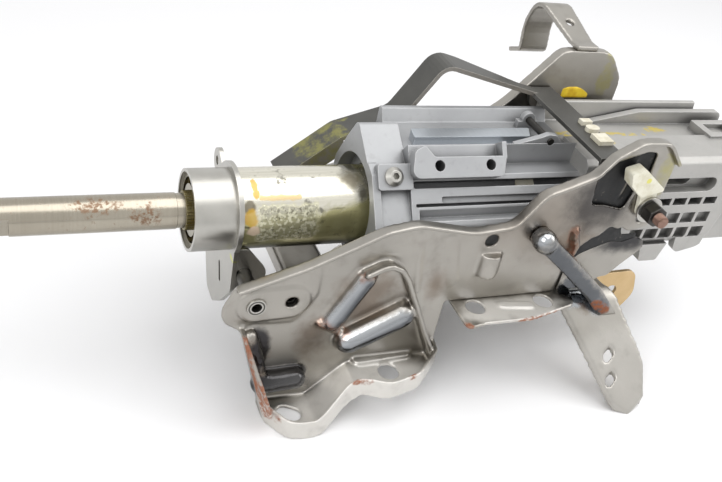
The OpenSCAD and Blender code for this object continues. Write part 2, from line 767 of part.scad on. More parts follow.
module lower_shaft() {
    chamfer = 2;
    color("gray") difference() {
        union() {
            rod_x(-shaft_stub, chamfer, shaft_r - chamfer, shaft_r);
            rod_x(chamfer - shaft_stub, shoulder_x + shaft_stub - chamfer, shaft_r);
            rod_x(shoulder_x, spline_x - shoulder_x, seat_r);
            rod_x(spline_x, spline_len, spline_core_d / 2);
            spline_keys(spline_x, spline_len, 0);
        }
        rotate([flat_turn, 0, 0]) translate([-shaft_stub - over, -shaft_d, shaft_r - flat_depth])
            cube([flat_len + over, 2 * shaft_d, shaft_d]);
    }
}

// Keys of the sliding spline, grown by gap
module spline_keys(x, len, gap) {
    for (i = [0:key_count - 1])
        rotate([360 * i / key_count, 0, 0])
            translate([x, -key_w / 2 - gap, 0]) cube([len, key_w + 2 * gap, spline_d / 2 + gap]);
}

module upper_shaft() {
    seat_x = upper_race_x;
    seat_len = race_len + 3;
    cone_len = spindle_len * 0.6;
    bore_len = sleeve_bore_x - sleeve_x;
    color("gray") difference() {
        union() {
            rod_x(sleeve_x, seat_x - sleeve_x, sleeve_d / 2);
            rod_x(seat_x, seat_len, spindle_r);
            rod_x(seat_x + seat_len, cone_len, spindle_r, spindle_r - 2);
            rod_x(seat_x + seat_len + cone_len, spindle_len - cone_len, spindle_r - 3);
        }
        rod_x(sleeve_x - over, bore_len + over, spline_core_d / 2 + clear_gap);
        spline_keys(sleeve_x - over, bore_len + over, clear_gap);
    }
}

module upper_inner_race() {
    color("silver") race(upper_race_x, upper_inner_r, spindle_r + seat_gap, upper_pitch_r);
}

module upper_outer_race() {
    color("silver") race(upper_race_x, upper_outer_r, upper_outer_r - race_t / 2 - groove, upper_pitch_r);
}

module upper_balls() {
    color("white") balls(upper_race_x, upper_pitch_r);
}

module clamp_bolt() {
    head_y = stack_y + washer_t;
    tail_y = nut_y + nut_t + bolt_tail;
    color("rosybrown") union() {
        rod_y([clamp_x, -tail_y, clamp_z], tail_y + head_y, bolt_d / 2);
        hex_y([clamp_x, head_y, clamp_z], 6, nut_af);
    }
}

module clamp_nut() {
    color("dimgray") difference() {
        union() {
            hex_y([clamp_x, -nut_y - nut_t, clamp_z], nut_t, nut_af);
            rod_y([clamp_x, -nut_y - 1.5, clamp_z], 1.5, nut_af * 0.62);
        }
        rod_y([clamp_x, -nut_y - nut_t - over, clamp_z], nut_t + 2 * over, bolt_d / 2 + seat_gap);
    }
}

module clamp_washers() {
    color("silver") for (y = [-nut_y, stack_y])
        difference() {
            rod_y([clamp_x, y, clamp_z], washer_t, washer_d / 2);
            rod_y([clamp_x, y - over, clamp_z], washer_t + 2 * over, bolt_d / 2 + seat_gap);
        }
}

module tilt_slider() {
    key = [[-27, 22, 1.5], [-30, 31, 1.5], [-20, 34, 1.5], [2, 18, 1.5], [-16, 13, 1.5]];
    stem = [[-12, 16, 0], [-7, -7, 6], [7, -7, 6], [0, 19, 0]];
    color("ivory") difference() {
        translate([clamp_x, 0, clamp_z]) union() {
            plate_y(-washer_y, slider_t) polygon(rounded(stem));
            plate_y(-washer_y - 6, slider_t + 6) polygon(rounded(key));
        }
        rod_y([clamp_x, -washer_y - over, clamp_z], slider_t + 2 * over, bolt_d / 2 + seat_gap);
    }
}

// Housing sections in Y and Z
trough_z = 43;
ridge_z = 50;
slope_top = [-11, ridge_z];
slope_foot = [-side_y + 1, 9];
slope_deg = atan2(slope_top.y - slope_foot.y, slope_top.x - slope_foot.x);
housing_bottom = -31;
far_y = arm_y - 1.5;

housing_section = [
    [far_y, -10, 4], [far_y, ridge_z + 1, 1], [far_y - 4, ridge_z + 1, 1], [far_y - 9, trough_z, 1],
    [-6, trough_z, 1], [slope_top.x, slope_top.y, 1], [slope_foot.x, slope_foot.y, 4], [-side_y, -6, 4],
    [-30, housing_bottom, 6], [30, housing_bottom, 6]];
mouth_section = [
    [12, 54, 4], [-15, 36, 4], [-41, 9, 5], [-side_y + 1, -6, 4], [-30, housing_bottom, 6],
    [30, housing_bottom, 6], [far_y, -6, 4], [35, 16, 5], [23, 37, 5]];
collar_len = 26;
// Rib in front of the screw's recess, and the mouth cut round the jacket
front_rib = [[-12, 39, 2], [-22, 35, 3], [slope_foot.x, slope_foot.y, 4], [-side_y, -6, 4],
    [-30, housing_bottom, 0], [0, housing_bottom, 0], [0, 0, 0]];
mouth_r = 31;
mouth_z = 3;
mouth_len = 10;

// Frame of the sloping near face: X along the housing, Y up the slope, Z out of it
module on_slope() {
    translate([0, slope_top.x, slope_top.y]) rotate([slope_deg, 0, 0]) children();
}

// Rounded box cut or raised on the sloping face, from s below its top edge
module slope_box(x, s, len, width, z0, z1, r) {
    on_slope() translate([0, 0, z0]) linear_extrude(z1 - z0)
        polygon(rounded([[x, -s, r], [x + len, -s, r], [x + len, -s - width, r], [x, -s - width, r]]));
}

screw_x = housing_x + 13;
screw_s = 20;
screw_d = 6;
lug_x = housing_x + 35;
lug_len = 55;
lug_h = 8;
shelf_z = 34.5;
ear_x = clamp_x - 59;
ear_z = 50;

module slide_housing() {
    lug = [[lug_x - 2, -2, 2], [lug_x + 4, -9, 3], [lug_x + lug_len, -9, 3], [lug_x + lug_len - 3, -22, 2],
        [lug_x - 12, -22, 5], [lug_x - 9, -5, 4]];
    near_ear = [[ear_x - 26, trough_z, 0], [ear_x - 26, ridge_z - 2, 0], [ear_x - 7, ear_z + 3, 4],
        [ear_x - 2, ear_z + 5, 3], [ear_x + 5, ear_z + 4, 3], [ear_x + 14, trough_z, 0]];
    color("lightsteelblue") difference() {
        union() {
            plate_x(housing_x, collar_len) polygon(rounded(mouth_section));
            plate_x(housing_x, 5) polygon(rounded(front_rib));
            plate_x(housing_x + collar_len - over, housing_len - collar_len + over)
                polygon(rounded(housing_section));
            // Lug with its end web, and the boss of the screw
            on_slope() translate([0, 0, -2]) linear_extrude(lug_h + 2) polygon(rounded(lug));
            slope_box(lug_x + lug_len - 3, 0, 3, 11, -2, lug_h, 0.5);
            slope_box(housing_x + 3, 12, 23, 16, -10, 2, 2);
            // Ears of the stop pin
            plate_y(-10, 4) polygon(rounded(near_ear));
            rod_y([ear_x, 19, ear_z], 4, stop_pin_d / 2 + 2.5);
            translate([ear_x - 8, 19, trough_z - over]) cube([16, 4, ear_z - trough_z]);
        }
        rod_x(housing_x - over, housing_len + 2 * over, tube_r + 1);
        for (x = bush_xs) rod_x(x - seat_gap, bush_len + 2 * seat_gap, bush_r + seat_gap);
        translate([0, 0, mouth_z]) rod_x(housing_x - over, mouth_len + over, mouth_r);
        rod_y([ear_x, -12, ear_z], 40, stop_pin_d / 2 + seat_gap);
        on_slope() for (x = [lug_x + 7, lug_x + lug_len - 12])
            translate([x, -14.5, -3]) cylinder(15, d = 7);
        // Shelf beside the lug
        translate([lug_x + lug_len + 1, -2 * side_y, shelf_z])
            cube([housing_len, 2 * side_y + slope_top.x, 40]);
        // Long slot, stepped groove and lower ledge
        slope_box(housing_x + 27, 23, housing_len, 4.5, -13, 2, 1.5);
        slope_box(housing_x + 46, 33, 94, 4, -3, 2, 1);
        slope_box(housing_x + 28, 37, 112, 2, -9, 2, 0.6);
        translate([housing_x + 30, -2 * side_y, 12]) cube([100, 2 * side_y - 36, 10]);
        on_slope() translate([screw_x, -screw_s, -6]) cylinder(10, d = screw_d + 2 * seat_gap);
    }
}

bush_xs = [housing_x + mouth_len + 2, housing_end_x - bush_len - 28];

module guide_bushes() {
    color("whitesmoke") for (x = bush_xs) tube_along_x(x, bush_len, bush_r, bush_bore_r);
}

strip_x = housing_x + 36;

module slide_strip() {
    color("lightblue") plate_z(trough_z, 6)
        polygon(rounded([[strip_x, 10, 1], [ear_x - 5, 10, 1], [ear_x - 10, -1, 1], [strip_x - 2, -1, 1]]));
}

module housing_screw() {
    head_d = 12;
    head_t = 4;
    color("silver") on_slope() translate([screw_x, -screw_s, 0]) difference() {
        union() {
            translate([0, 0, -5]) cylinder(7, d = screw_d);
            translate([0, 0, 2]) cylinder(1.5, d = head_d);
            translate([0, 0, 3.5]) cylinder(head_t - 1.5, d1 = head_d, d2 = head_d - 5);
        }
        translate([0, 0, 3.5]) cylinder(head_t, d = 4.5, $fn = 6);
    }
}

module stop_pin() {
    color("black") rod_y([ear_x, -11, ear_z], 36, stop_pin_d / 2);
}

near_y = 30;
deck_z = 41;
upper_section = [
    [side_y, -10, 4], [side_y, 51, 1], [side_y - 4, 55, 1], [side_y - 7, 55, 1], [side_y - 9, deck_z, 1],
    [5, deck_z, 1], [4, 46, 1], [4 - near_y, 46, 2], [-near_y, 42, 3], [-near_y, -20, 4],
    [8 - near_y, housing_bottom, 6], [30, housing_bottom, 6]];

module upper_housing() {
    x = housing_end_x;
    slot_x = clamp_x - reach_out - bolt_d / 2 - clear_gap;
    slot_end = clamp_x + 62;
    slot_from = [slot_x + slot_w / 2, clamp_z];
    pocket_w = 11.5;
    color("rosybrown") difference() {
        union() {
            plate_x(x, upper_len) polygon(rounded(upper_section));
            // Wedge rail and end block on the deck
            plate_y(29, 5) polygon(rounded([[x + 25, deck_z - over, 0], [x + 80, 51, 4],
                [x + upper_len - 2, 51, 5], [x + upper_len - 2, deck_z - over, 0]]));
            translate([x + upper_len - 36, -2, deck_z - over]) cube([36, 24, 8]);
            // Foot and fin under the housing
            plate_y(2 - near_y, 12)
                polygon(rounded([[x + 76, -28, 0], [x + 80, -43, 2], [x + 96, -43, 2], [x + 100, -28, 0]]));
            plate_y(1 - near_y, 6) polygon(rounded([[x + 104, -18, 0], [x + 108, -37, 6],
                [x + 132, -31, 12], [x + 140, -12, 0]]));
        }
        rod_x(x - over, upper_len + 2 * over, upper_bore_r);
        rod_x(upper_race_x - seat_gap, upper_len, upper_outer_r + seat_gap);
        // Entry of the jacket tube
        rod_x(x - over, tube_end_x + reach_out + 5 - x, tube_r + 1);
        // Reach slot of the clamp bolt, with a wider recess in the near side
        plate_y(-2 * side_y, 4 * side_y) slot_2d(slot_from, [slot_end - slot_w / 2, clamp_z], slot_w);
        plate_y(-near_y - over, 8 + over) slot_2d(slot_from, [slot_end + 12, clamp_z], slot_w + 3);
        // Rows of pockets in the near side
        for (row = [[8, 6, 7], [-8, 9, 4], [-22, 10, 6]], i = [0:4])
            translate([x + 58 + (pocket_w + 2.5) * i, -near_y - over, row[0]])
                cube([pocket_w, row[2] + over, row[1]]);
        // Far rail and lower near corner end short of the wheel end
        translate([x + 136, side_y - 9, deck_z + 4]) cube([upper_len, 20, 20]);
        plate_y(-2 * near_y, near_y + 6) polygon(rounded([[x + 138, 2, 6], [x + 200, 2, 0],
            [x + 200, -60, 0], [x + 128, -60, 0], [x + 132, -24, 10]]));
        translate([x + upper_len - 30, 4, deck_z + 3]) cube([20, 12, 6]);
    }
}

lever_path = [
    [clamp_x - 223, clamp_z - 30, 0], [clamp_x - 185, clamp_z + 1, 10],
    [clamp_x - 146, clamp_z + 14, 10], [clamp_x - 121, clamp_z + 55, 12],
    [bar_x + 3, bar_z, 10], [bar_x + bar_w, bar_z, 0]];

module release_lever() {
    cheek = [[bar_x, bar_z, 3], [bar_x + bar_w, bar_z, 3], [clamp_x + 5, clamp_z + 8, 0],
        [clamp_x - 6, clamp_z - 7, 0], [bar_x + 4, bar_z - 12, 6]];
    eye_r = 9.5;
    color("dimgray") difference() {
        union() {
            // Strap handle along the far side
            difference() {
                plate_y(arm_y, strap_w) polygon(bent(lever_path, -lever_t));
                plate_z(clamp_z, 100) polygon([[bar_x - 60, arm_y + strap_w + over], [bar_x - 10, cheek_y],
                    [bar_x + 50, cheek_y], [bar_x + 50, arm_y + strap_w + over]]);
            }
            // Bar over the housing
            translate([bar_x, -cheek_y, bar_z - lever_t]) cube([bar_w, 2 * cheek_y, lever_t]);
            // Cheeks on the clamp bolt
            for (y = [-cheek_y, cheek_y - lever_t])
                plate_y(y, lever_t) {
                    polygon(rounded(cheek));
                    translate([clamp_x, clamp_z]) circle(eye_r);
                }
            // Folded flange of the grip end
            plate_y(arm_y, lever_t) polygon(bent([for (i = [0:1]) lever_path[i]], -12));
        }
        rod_y([clamp_x, -wall_in, clamp_z], wall_gap, bolt_d / 2 + run_gap);
    }
}

// Three pale pads on the near end of the bar
module lever_clip() {
    pad_t = 3;
    color("ivory") {
        translate([bar_x + 11, -7, bar_z]) cube([8, 5, pad_t]);
        plate_z(bar_z, pad_t) slot_2d([bar_x + 13, -14], [bar_x + 16, -14], 7);
        translate([bar_x + 8, -33, bar_z]) cube([11, 11, pad_t]);
    }
}

near_wall();
far_wall();
base_plate();
front_bridge();
near_foot();
far_foot();
rivet_nut();
wall_stiffener();
rear_saddle();
brace_rod();
hoop_strap();
stay_plate();
pivot_tube();
jacket_tube();
pivot_flange();
bearing_cup();
lower_outer_race();
lower_balls();
clamp_bolt();
clamp_nut();
clamp_washers();
tilt_slider();
slide_housing();
upper_housing();
slide_strip();
housing_screw();
stop_pin();
guide_bushes();
upper_outer_race();
upper_balls();
lower_shaft();
tolerance_ring();
lower_inner_race();
upper_shaft();
upper_inner_race();
release_lever();
lever_clip();
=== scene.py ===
"""Looks of the tilt and reach adjustable steering column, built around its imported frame."""

import math
import random

import bmesh
import bpy
from mathutils import Matrix, Vector, noise


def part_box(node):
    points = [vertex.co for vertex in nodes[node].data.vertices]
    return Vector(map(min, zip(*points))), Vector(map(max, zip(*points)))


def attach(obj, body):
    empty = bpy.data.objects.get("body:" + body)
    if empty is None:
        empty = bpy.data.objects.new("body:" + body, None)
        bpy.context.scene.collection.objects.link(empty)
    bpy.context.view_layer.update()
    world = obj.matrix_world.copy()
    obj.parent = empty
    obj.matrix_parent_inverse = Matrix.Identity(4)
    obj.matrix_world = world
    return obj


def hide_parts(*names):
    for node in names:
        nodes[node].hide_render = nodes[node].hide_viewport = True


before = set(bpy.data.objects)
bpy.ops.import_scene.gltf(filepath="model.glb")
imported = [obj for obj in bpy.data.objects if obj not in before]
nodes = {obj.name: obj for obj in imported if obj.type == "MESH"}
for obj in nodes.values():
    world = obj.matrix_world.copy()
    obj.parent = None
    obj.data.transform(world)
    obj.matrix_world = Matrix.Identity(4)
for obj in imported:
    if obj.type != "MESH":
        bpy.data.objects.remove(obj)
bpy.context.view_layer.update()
scene = bpy.context.scene

MM_PER_M = 1000
PIVOT_MM = (88, 0, -33)
CLAMP_MM = (348, 0, 25)


def srgb(red, green, blue):
    """Linear colour of an 8-bit screen colour."""
    def linear(c):
        c /= 255
        return c / 12.92 if c <= 0.04045 else ((c + 0.055) / 1.055) ** 2.4
    return linear(red), linear(green), linear(blue), 1.0


def mm(x, y, z):
    """A point given in millimetres."""
    return Vector((x, y, z)) / MM_PER_M


class Look:
    """A procedural material. Places are in the row's frame, as every piece's object sits at the origin."""

    def __init__(self, name, metallic=1.0, edge_mm=0.5):
        self.mat = bpy.data.materials.new(name)
        self.mat.use_nodes = True
        self.tree = self.mat.node_tree
        self.tree.nodes.clear()
        self.bsdf = self.add("ShaderNodeBsdfPrincipled", Metallic=metallic)
        out = self.add("ShaderNodeOutputMaterial")
        self.tree.links.new(self.bsdf.outputs[0], out.inputs[0])
        self.place = self.add("ShaderNodeTexCoord").outputs["Object"]
        self.round = self.add("ShaderNodeBevel", {"samples": 4}, Radius=edge_mm / MM_PER_M)
        self.bump_from = self.round.outputs[0]

    def put(self, socket, value):
        """Links another node's output to a socket, or sets the socket."""
        if isinstance(value, bpy.types.NodeSocket):
            self.tree.links.new(value, socket)
        else:
            socket.default_value = value

    def add(self, kind, settings=(), **inputs):
        """A new node with its settings and its inputs by name."""
        node = self.tree.nodes.new(kind)
        for key, value in dict(settings).items():
            setattr(node, key, value)
        for key, value in inputs.items():
            self.put(node.inputs[key], value)
        return node

    def math(self, op, a, b=0.0, c=0.0):
        """Arithmetic on up to three numbers."""
        node = self.add("ShaderNodeMath", {"operation": op})
        for socket, value in zip(node.inputs, (a, b, c)):
            self.put(socket, value)
        return node.outputs[0]

    def times(self, *values):
        """Product of several numbers."""
        total = values[0]
        for v in values[1:]:
            total = self.math("MULTIPLY", total, v)
        return total

    def any(self, *masks):
        """The strongest of several masks."""
        total = masks[0]
        for m in masks[1:]:
            total = self.math("MAXIMUM", total, m)
        return total

    def vector(self, op, a, b=(0, 0, 0)):
        """Arithmetic on vectors that gives a vector."""
        return self.vector_node(op, a, b).outputs["Vector"]

    def measure(self, op, a, b=(0, 0, 0)):
        """Arithmetic on vectors that gives a number."""
        return self.vector_node(op, a, b).outputs["Value"]

    def vector_node(self, op, a, b):
        """A node for arithmetic on two vectors."""
        node = self.add("ShaderNodeVectorMath", {"operation": op})
        self.put(node.inputs[0], a)
        self.put(node.inputs[1], b)
        return node

    def stretch(self, x, y, z):
        """Places with each axis scaled, for streaks."""
        return self.vector("MULTIPLY", self.place, Vector((x, y, z)))

    def noise(self, size_mm, detail=3.0, rough=0.55, at=None, twist=0.0):
        """Noise whose blotches are about size_mm across."""
        node = self.add("ShaderNodeTexNoise", Vector=at or self.place, Scale=MM_PER_M / size_mm,
                        Detail=detail, Roughness=rough, Distortion=twist)
        return node.outputs[0]

    def step(self, value, low, high):
        """0 below low, 1 above high, smooth between."""
        node = self.add("ShaderNodeMapRange", {"interpolation_type": "SMOOTHSTEP"})
        for socket, v in zip(node.inputs, (value, low, high, 0.0, 1.0)):
            self.put(socket, v)
        return node.outputs[0]

    def flecks(self, size_mm, low, high, detail=5.0):
        """Mask of scattered flecks."""
        return self.step(self.noise(size_mm, detail, 0.65), low, high)

    def mix(self, share, a, b):
        """Mix of two colours, whose sockets come after those for numbers and vectors."""
        node = self.add("ShaderNodeMix", {"data_type": "RGBA", "clamp_factor": True})
        for index, value in ((0, share), (6, a), (7, b)):
            self.put(node.inputs[index], value)
        return node.outputs[2]

    def blend(self, share, a, b):
        """Mix of two numbers."""
        return self.add("ShaderNodeMix", {"data_type": "FLOAT", "clamp_factor": True},
                        Factor=share, A=a, B=b).outputs[0]

    def fade(self, far, ragged, grain_mm, soft):
        """Mask from a distance that is 1 at the border, with a ragged edge."""
        wobble = self.math("MULTIPLY_ADD", self.noise(grain_mm, 4), ragged * 2, -ragged)
        return self.step(self.math("ADD", far, wobble), 1.0, 1.0 - soft)

    def within(self, centre_mm, half_mm):
        """Places measured from a centre, in half sizes."""
        off = self.vector("SUBTRACT", self.place, mm(*centre_mm))
        return self.vector("MULTIPLY", off, Vector([MM_PER_M / h for h in half_mm]))

    def spot(self, centre_mm, radii_mm, ragged=0.5, grain_mm=6, soft=0.35):
        """Mask of a ragged blotch: 1 inside, 0 outside."""
        far = self.measure("LENGTH", self.within(centre_mm, radii_mm))
        return self.fade(far, ragged, grain_mm, soft)

    def patch(self, centre_mm, half_mm, ragged=0.3, grain_mm=5, soft=0.15):
        """Mask of a ragged box."""
        near = self.vector("ABSOLUTE", self.within(centre_mm, half_mm))
        sides = self.add("ShaderNodeSeparateXYZ", Vector=near)
        return self.fade(self.any(*sides.outputs), ragged, grain_mm, soft)

    def line(self, from_mm, to_mm, r_mm, ragged=0.5, grain_mm=5, soft=0.5):
        """Mask of a ragged band of radius r_mm along a straight line."""
        start, run = mm(*from_mm), mm(*to_mm) - mm(*from_mm)
        off = self.vector("SUBTRACT", self.place, start)
        along = self.measure("DOT_PRODUCT", off, run / run.length_squared)
        along = self.math("MINIMUM", self.math("MAXIMUM", along, 0.0), 1.0)
        spine = self.add("ShaderNodeVectorMath", {"operation": "SCALE"}, Vector=run, Scale=along)
        gap = self.measure("LENGTH", self.vector("SUBTRACT", off, spine.outputs["Vector"]))
        return self.fade(self.math("MULTIPLY", gap, MM_PER_M / r_mm), ragged, grain_mm, soft)

    def collar(self, centre_mm, r_mm, half_mm):
        """Mask of a ring about an axis along Y."""
        off = self.vector("SUBTRACT", self.stretch(1, 0, 1), mm(centre_mm[0], 0, centre_mm[2]))
        far = self.measure("LENGTH", off)
        gap = self.math("ABSOLUTE", self.math("SUBTRACT", far, r_mm / MM_PER_M))
        half = half_mm / MM_PER_M
        return self.step(gap, half, half / 2)

    def edges(self, low=0.01, high=0.12):
        """Mask of sharp edges, from how far the rounded normal leans off the flat one."""
        lean = self.measure("DOT_PRODUCT", self.round.outputs[0], self.normal())
        return self.step(self.math("SUBTRACT", 1.0, lean), low, high)

    def crest(self, low=0.53, high=0.62):
        """Mask of outward curves, where handling rubs a skin bright. It takes a dense mesh."""
        return self.step(self.add("ShaderNodeNewGeometry").outputs["Pointiness"], low, high)

    def corner_shade(self, reach_mm, low=0.35, high=0.8):
        """Mask of corners and recesses, from ambient occlusion, where shade is painted."""
        shut = self.add("ShaderNodeAmbientOcclusion", {"samples": 6, "only_local": True},
                        Distance=reach_mm / MM_PER_M)
        return self.step(shut.outputs["AO"], high, low)

    def normal(self):
        """The flat normal of the surface."""
        return self.add("ShaderNodeNewGeometry").outputs["Normal"]

    def facing(self, axis):
        """How far the surface faces along an axis, -1 to 1."""
        return self.measure("DOT_PRODUCT", self.normal(), Vector(axis))

    def bump(self, height, depth_mm):
        """Adds fine relief to the relief so far."""
        node = self.add("ShaderNodeBump", Height=height, Distance=depth_mm / MM_PER_M, Strength=1.0,
                        Normal=self.bump_from)
        self.bump_from = node.outputs[0]

    def done(self, colour, roughness, metallic=None):
        """The material, once its colour and finish are in."""
        self.put(self.bsdf.inputs["Base Color"], colour)
        self.put(self.bsdf.inputs["Roughness"], roughness)
        self.put(self.bsdf.inputs["Normal"], self.bump_from)
        if metallic is not None:
            self.put(self.bsdf.inputs["Metallic"], metallic)
        return self.mat


RUST, DARK_RUST = srgb(176, 100, 52), srgb(100, 60, 42)


# Marks on the pressed steel
def lit_feet_steel(k):
    """Mask of paler, less metallic steel on the up-facing feet, side flange and rear foot: painted light
    from above.
    """
    near_foot = k.spot((160, -84, -102), (90, 38, 38), 0.08, 20, 0.3)
    side_flange = k.spot((262, -66, -45), (56, 16, 8), 0.3, 12, 0.5)
    rear_foot = k.spot((354, -94, -88), (52, 40, 44), 0.1, 20, 0.4)
    return k.any(near_foot, side_flange, k.times(rear_foot, 0.3))


def heat_brown(k):
    """Mask of the brown heat tint round the welds, and of a faint one on the wall beside its window."""
    wall = k.spot((282, -54, 16), (84, 14, 48), 0.25, 20, 0.9)
    return k.any(
        k.spot((160, -55, -36), (34, 12, 30), 0.5, 12, 0.8),
        k.spot((128, -56, -64), (16, 14, 24), 0.5, 10, 0.8),
        k.spot((92, -60, -72), (16, 14, 26), 0.4, 8, 0.5),
        k.spot((206, -56, -30), (12, 10, 20), 0.4, 12, 0.9),
        k.spot((300, -56, 0), (36, 14, 30), 0.5, 12, 0.8),
        k.spot((328, -62, -52), (12, 10, 8), 0.5, 7, 0.8),
        k.times(wall, 0.65))


def blue_steel(k):
    """Mask of the blue steel on the foot's swells and on the brace."""
    return k.any(
        k.line((138, -57, -49), (154, -58, -20), 7.5, 0.15),
        k.line((152, -60, -65), (184, -62, -49), 10, 0.15),
        k.line((266, -60, 11), (336, -62, -52), 10, 0.3),
        k.spot((318, -54, -44), (16, 10, 14), 0.5))


def weld_copper(k):
    """Mask of coppery flecks along the welds."""
    welds = k.any(
        k.line((133, -56, -51), (148, -56, -60), 7, 0.6),
        k.line((152, -56, -16), (164, -56, -11), 5, 0.7),
        k.line((298, -54, 8), (302, -54, -18), 6, 0.7))
    return k.times(welds, k.flecks(5, 0.36, 0.62))


def sheet_rust(k):
    """Mask of rust on rims and welds."""
    rims = k.any(
        k.line((81, -64, -47), (98, -74, -104), 6, 0.7),
        k.line((90, -80, -78), (100, -83, -104), 7, 0.7),
        k.spot((151, -84, -78), (11, 7, 4), 0.7),
        k.spot((184, -80, -77), (13, 6, 3), 0.7),
        k.line((216, -77, -44), (222, -77, -45), 5, 0.8),
        k.line((262, -77, -46), (320, -68, -46), 2.5, 0.8),
        k.line((298, -60, 6), (300, -60, -14), 4, 0.8),
        k.spot((214, -66, -44), (6, 12, 4), 0.8),
        k.line((154, -57, -13), (162, -57, -8), 3, 0.7),
        k.line((330, -64, -48), (340, -66, -54), 5, 0.7))
    return k.times(rims, k.flecks(3.5, 0.34, 0.56))


def crown_paint(k):
    """Mask of old yellow paint on the crowns of the walls."""
    crowns = k.any(
        k.spot((366, 50, 66), (8, 6, 16), 0.5, 5),
        k.spot((372, 54, 84), (14, 8, 7), 0.7, 4),
        k.spot((354, -54, 52), (9, 6, 22), 0.4, 6))
    return k.times(crowns, k.blend(k.flecks(9, 0.35, 0.65), 0.35, 1.0))


def sheet_soot_and_shade(k):
    """Mask of painted shade in the heel's recess, the foot's corner and under the clamp, of the dark weld
    bead in the heel, and of sooty stains with painted shade round the window.
    """
    foot_floor = k.spot((130, -56, -102), (14, 10, 12), 0.3, 8, 0.9)
    window = k.spot((312, -54, 31), (38, 10, 35), 0.3, 10, 0.7)
    return k.any(
        k.spot((92, -55, -70), (12, 9, 23), 0.15, 6, 0.3),
        k.line((96, -58, -93), (121, -57, -93), 11, 0.08, 5, 0.25),
        k.times(foot_floor, 0.5),
        k.spot((345, -49, -6), (36, 2.8, 14), 0.3, 8, 0.6),
        k.times(window, 0.85))


# Materials
def pressed_steel(name, rolled_skin):
    """Bare pressed steel: satin grey, painted paler where the feet face up, heat tinted and rusted round its
    welds, with painted shade in its corners and recesses and a painted lit side on its blue swells.
    """
    k = Look(name, edge_mm=0.6)
    cloud = k.noise(45, 3)
    drift = k.noise(14, 4)
    lit_feet, blue, rust, soot_and_shade = lit_feet_steel(k), blue_steel(k), sheet_rust(k), sheet_soot_and_shade(k)
    base = k.mix(cloud, srgb(148, 145, 139), srgb(174, 170, 163))
    # Painted light: the up-facing feet and flange are made paler
    base = k.mix(lit_feet, base, k.mix(cloud, srgb(200, 197, 191), srgb(222, 219, 213)))
    base = k.mix(k.times(k.step(drift, 0.5, 0.8), 0.3), base, srgb(116, 111, 104))
    brown = k.mix(drift, srgb(124, 106, 88), srgb(90, 77, 66))
    base = k.mix(k.times(heat_brown(k), 0.65), base, brown)
    # Painted light and shade on the blue swells and brace: lighter where they face up and to the near left,
    # darker elsewhere
    painted_lit_side = k.step(k.facing((-0.45, -0.4, 0.8)), 0.35, 0.95)
    base = k.mix(k.times(blue, 0.85), base, k.mix(painted_lit_side, srgb(72, 77, 84), srgb(178, 182, 186)))
    base = k.mix(k.times(weld_copper(k), 0.7), base, srgb(146, 104, 84))
    base = k.mix(k.times(rust, 0.9), base, k.mix(k.noise(2), RUST, DARK_RUST))
    base = k.mix(k.times(crown_paint(k), 0.6), base, srgb(166, 160, 98))
    # Handling keeps edges bright where there is no sooty stain, painted shade or blue
    rubbed = k.any(k.edges(), k.times(k.crest(), 0.6)) if rolled_skin else k.edges()
    rubbed = k.times(rubbed, k.math("SUBTRACT", 1.0, k.any(soot_and_shade, k.times(blue, 0.7))), 0.55)
    base = k.mix(rubbed, base, srgb(230, 226, 219))
    # Sooty stains and painted shade, darkest in the heel's recess, the foot's corner and under the clamp
    base = k.mix(k.times(soot_and_shade, 0.9), base, k.mix(drift, srgb(24, 26, 32), srgb(50, 50, 54)))
    # Painted shade in corners and recesses
    base = k.mix(k.times(k.corner_shade(6), 0.45), base, srgb(58, 50, 44))
    k.bump(k.noise(0.9, 3), 0.03)
    k.bump(drift, 0.2)
    rough = k.blend(k.any(blue, soot_and_shade), k.blend(drift, 0.27, 0.4), 0.17)
    metal = k.blend(lit_feet, 1.0, 0.3)
    return k.done(base, k.blend(rust, rough, 0.85), k.blend(rust, metal, 0.15))


def cast_metal(name, dark, light, marks=False):
    """As-cast aluminium: fine grain, brighter rubbed edges, flecks of grey dust and painted shade in the
    corners.
    """
    k = Look(name, metallic=0.55, edge_mm=0.9)
    grain = k.noise(0.8, 4, 0.7)
    base = k.mix(k.noise(40, 4), dark, light)
    base = k.mix(k.times(k.edges(), 0.55), base, srgb(232, 232, 232))
    base = k.mix(k.times(k.flecks(6, 0.55, 0.75, 4), 0.2), base, srgb(120, 118, 114))
    # Painted shade in corners and recesses
    base = k.mix(k.times(k.corner_shade(10), 0.75), base, srgb(50, 50, 50))
    if marks:
        smears = k.any(
            k.line((316, 14, 42), (384, 12, 42), 6, 0.6),
            k.spot((332, -4, 46), (16, 7, 3), 0.6),
            k.spot((400, 20, 42), (12, 6, 3), 0.6))
        paint = k.times(smears, k.flecks(7, 0.42, 0.56))
        base = k.mix(k.times(paint, 0.8), base, srgb(212, 190, 74))
    k.bump(grain, 0.07)
    return k.done(base, k.blend(grain, 0.4, 0.58))


def zinc_plate():
    """Satin zinc plate, faintly clouded, with dabs of yellow paint, a dark seam round the pivot and painted
    shade in its corners.
    """
    k = Look("zinc_plate", edge_mm=0.4)
    cloud = k.noise(14, 4)
    base = k.mix(cloud, srgb(164, 162, 156), srgb(192, 190, 184))
    base = k.mix(k.times(k.edges(), 0.45), base, srgb(238, 237, 233))
    dab = k.any(k.spot((82, -20, -22), (5, 5, 2), 0.6), k.spot((82, 10, -27), (8, 8, 3), 0.6))
    base = k.mix(k.times(dab, 0.75), base, srgb(206, 208, 70))
    base = k.mix(k.times(k.collar(PIVOT_MM, 4.6, 0.7), 0.85), base, srgb(52, 50, 47))
    # Painted shade in corners and recesses
    base = k.mix(k.times(k.corner_shade(6), 0.6), base, srgb(70, 66, 58))
    k.bump(k.noise(0.7, 3), 0.03)
    return k.done(base, k.blend(cloud, 0.24, 0.38))


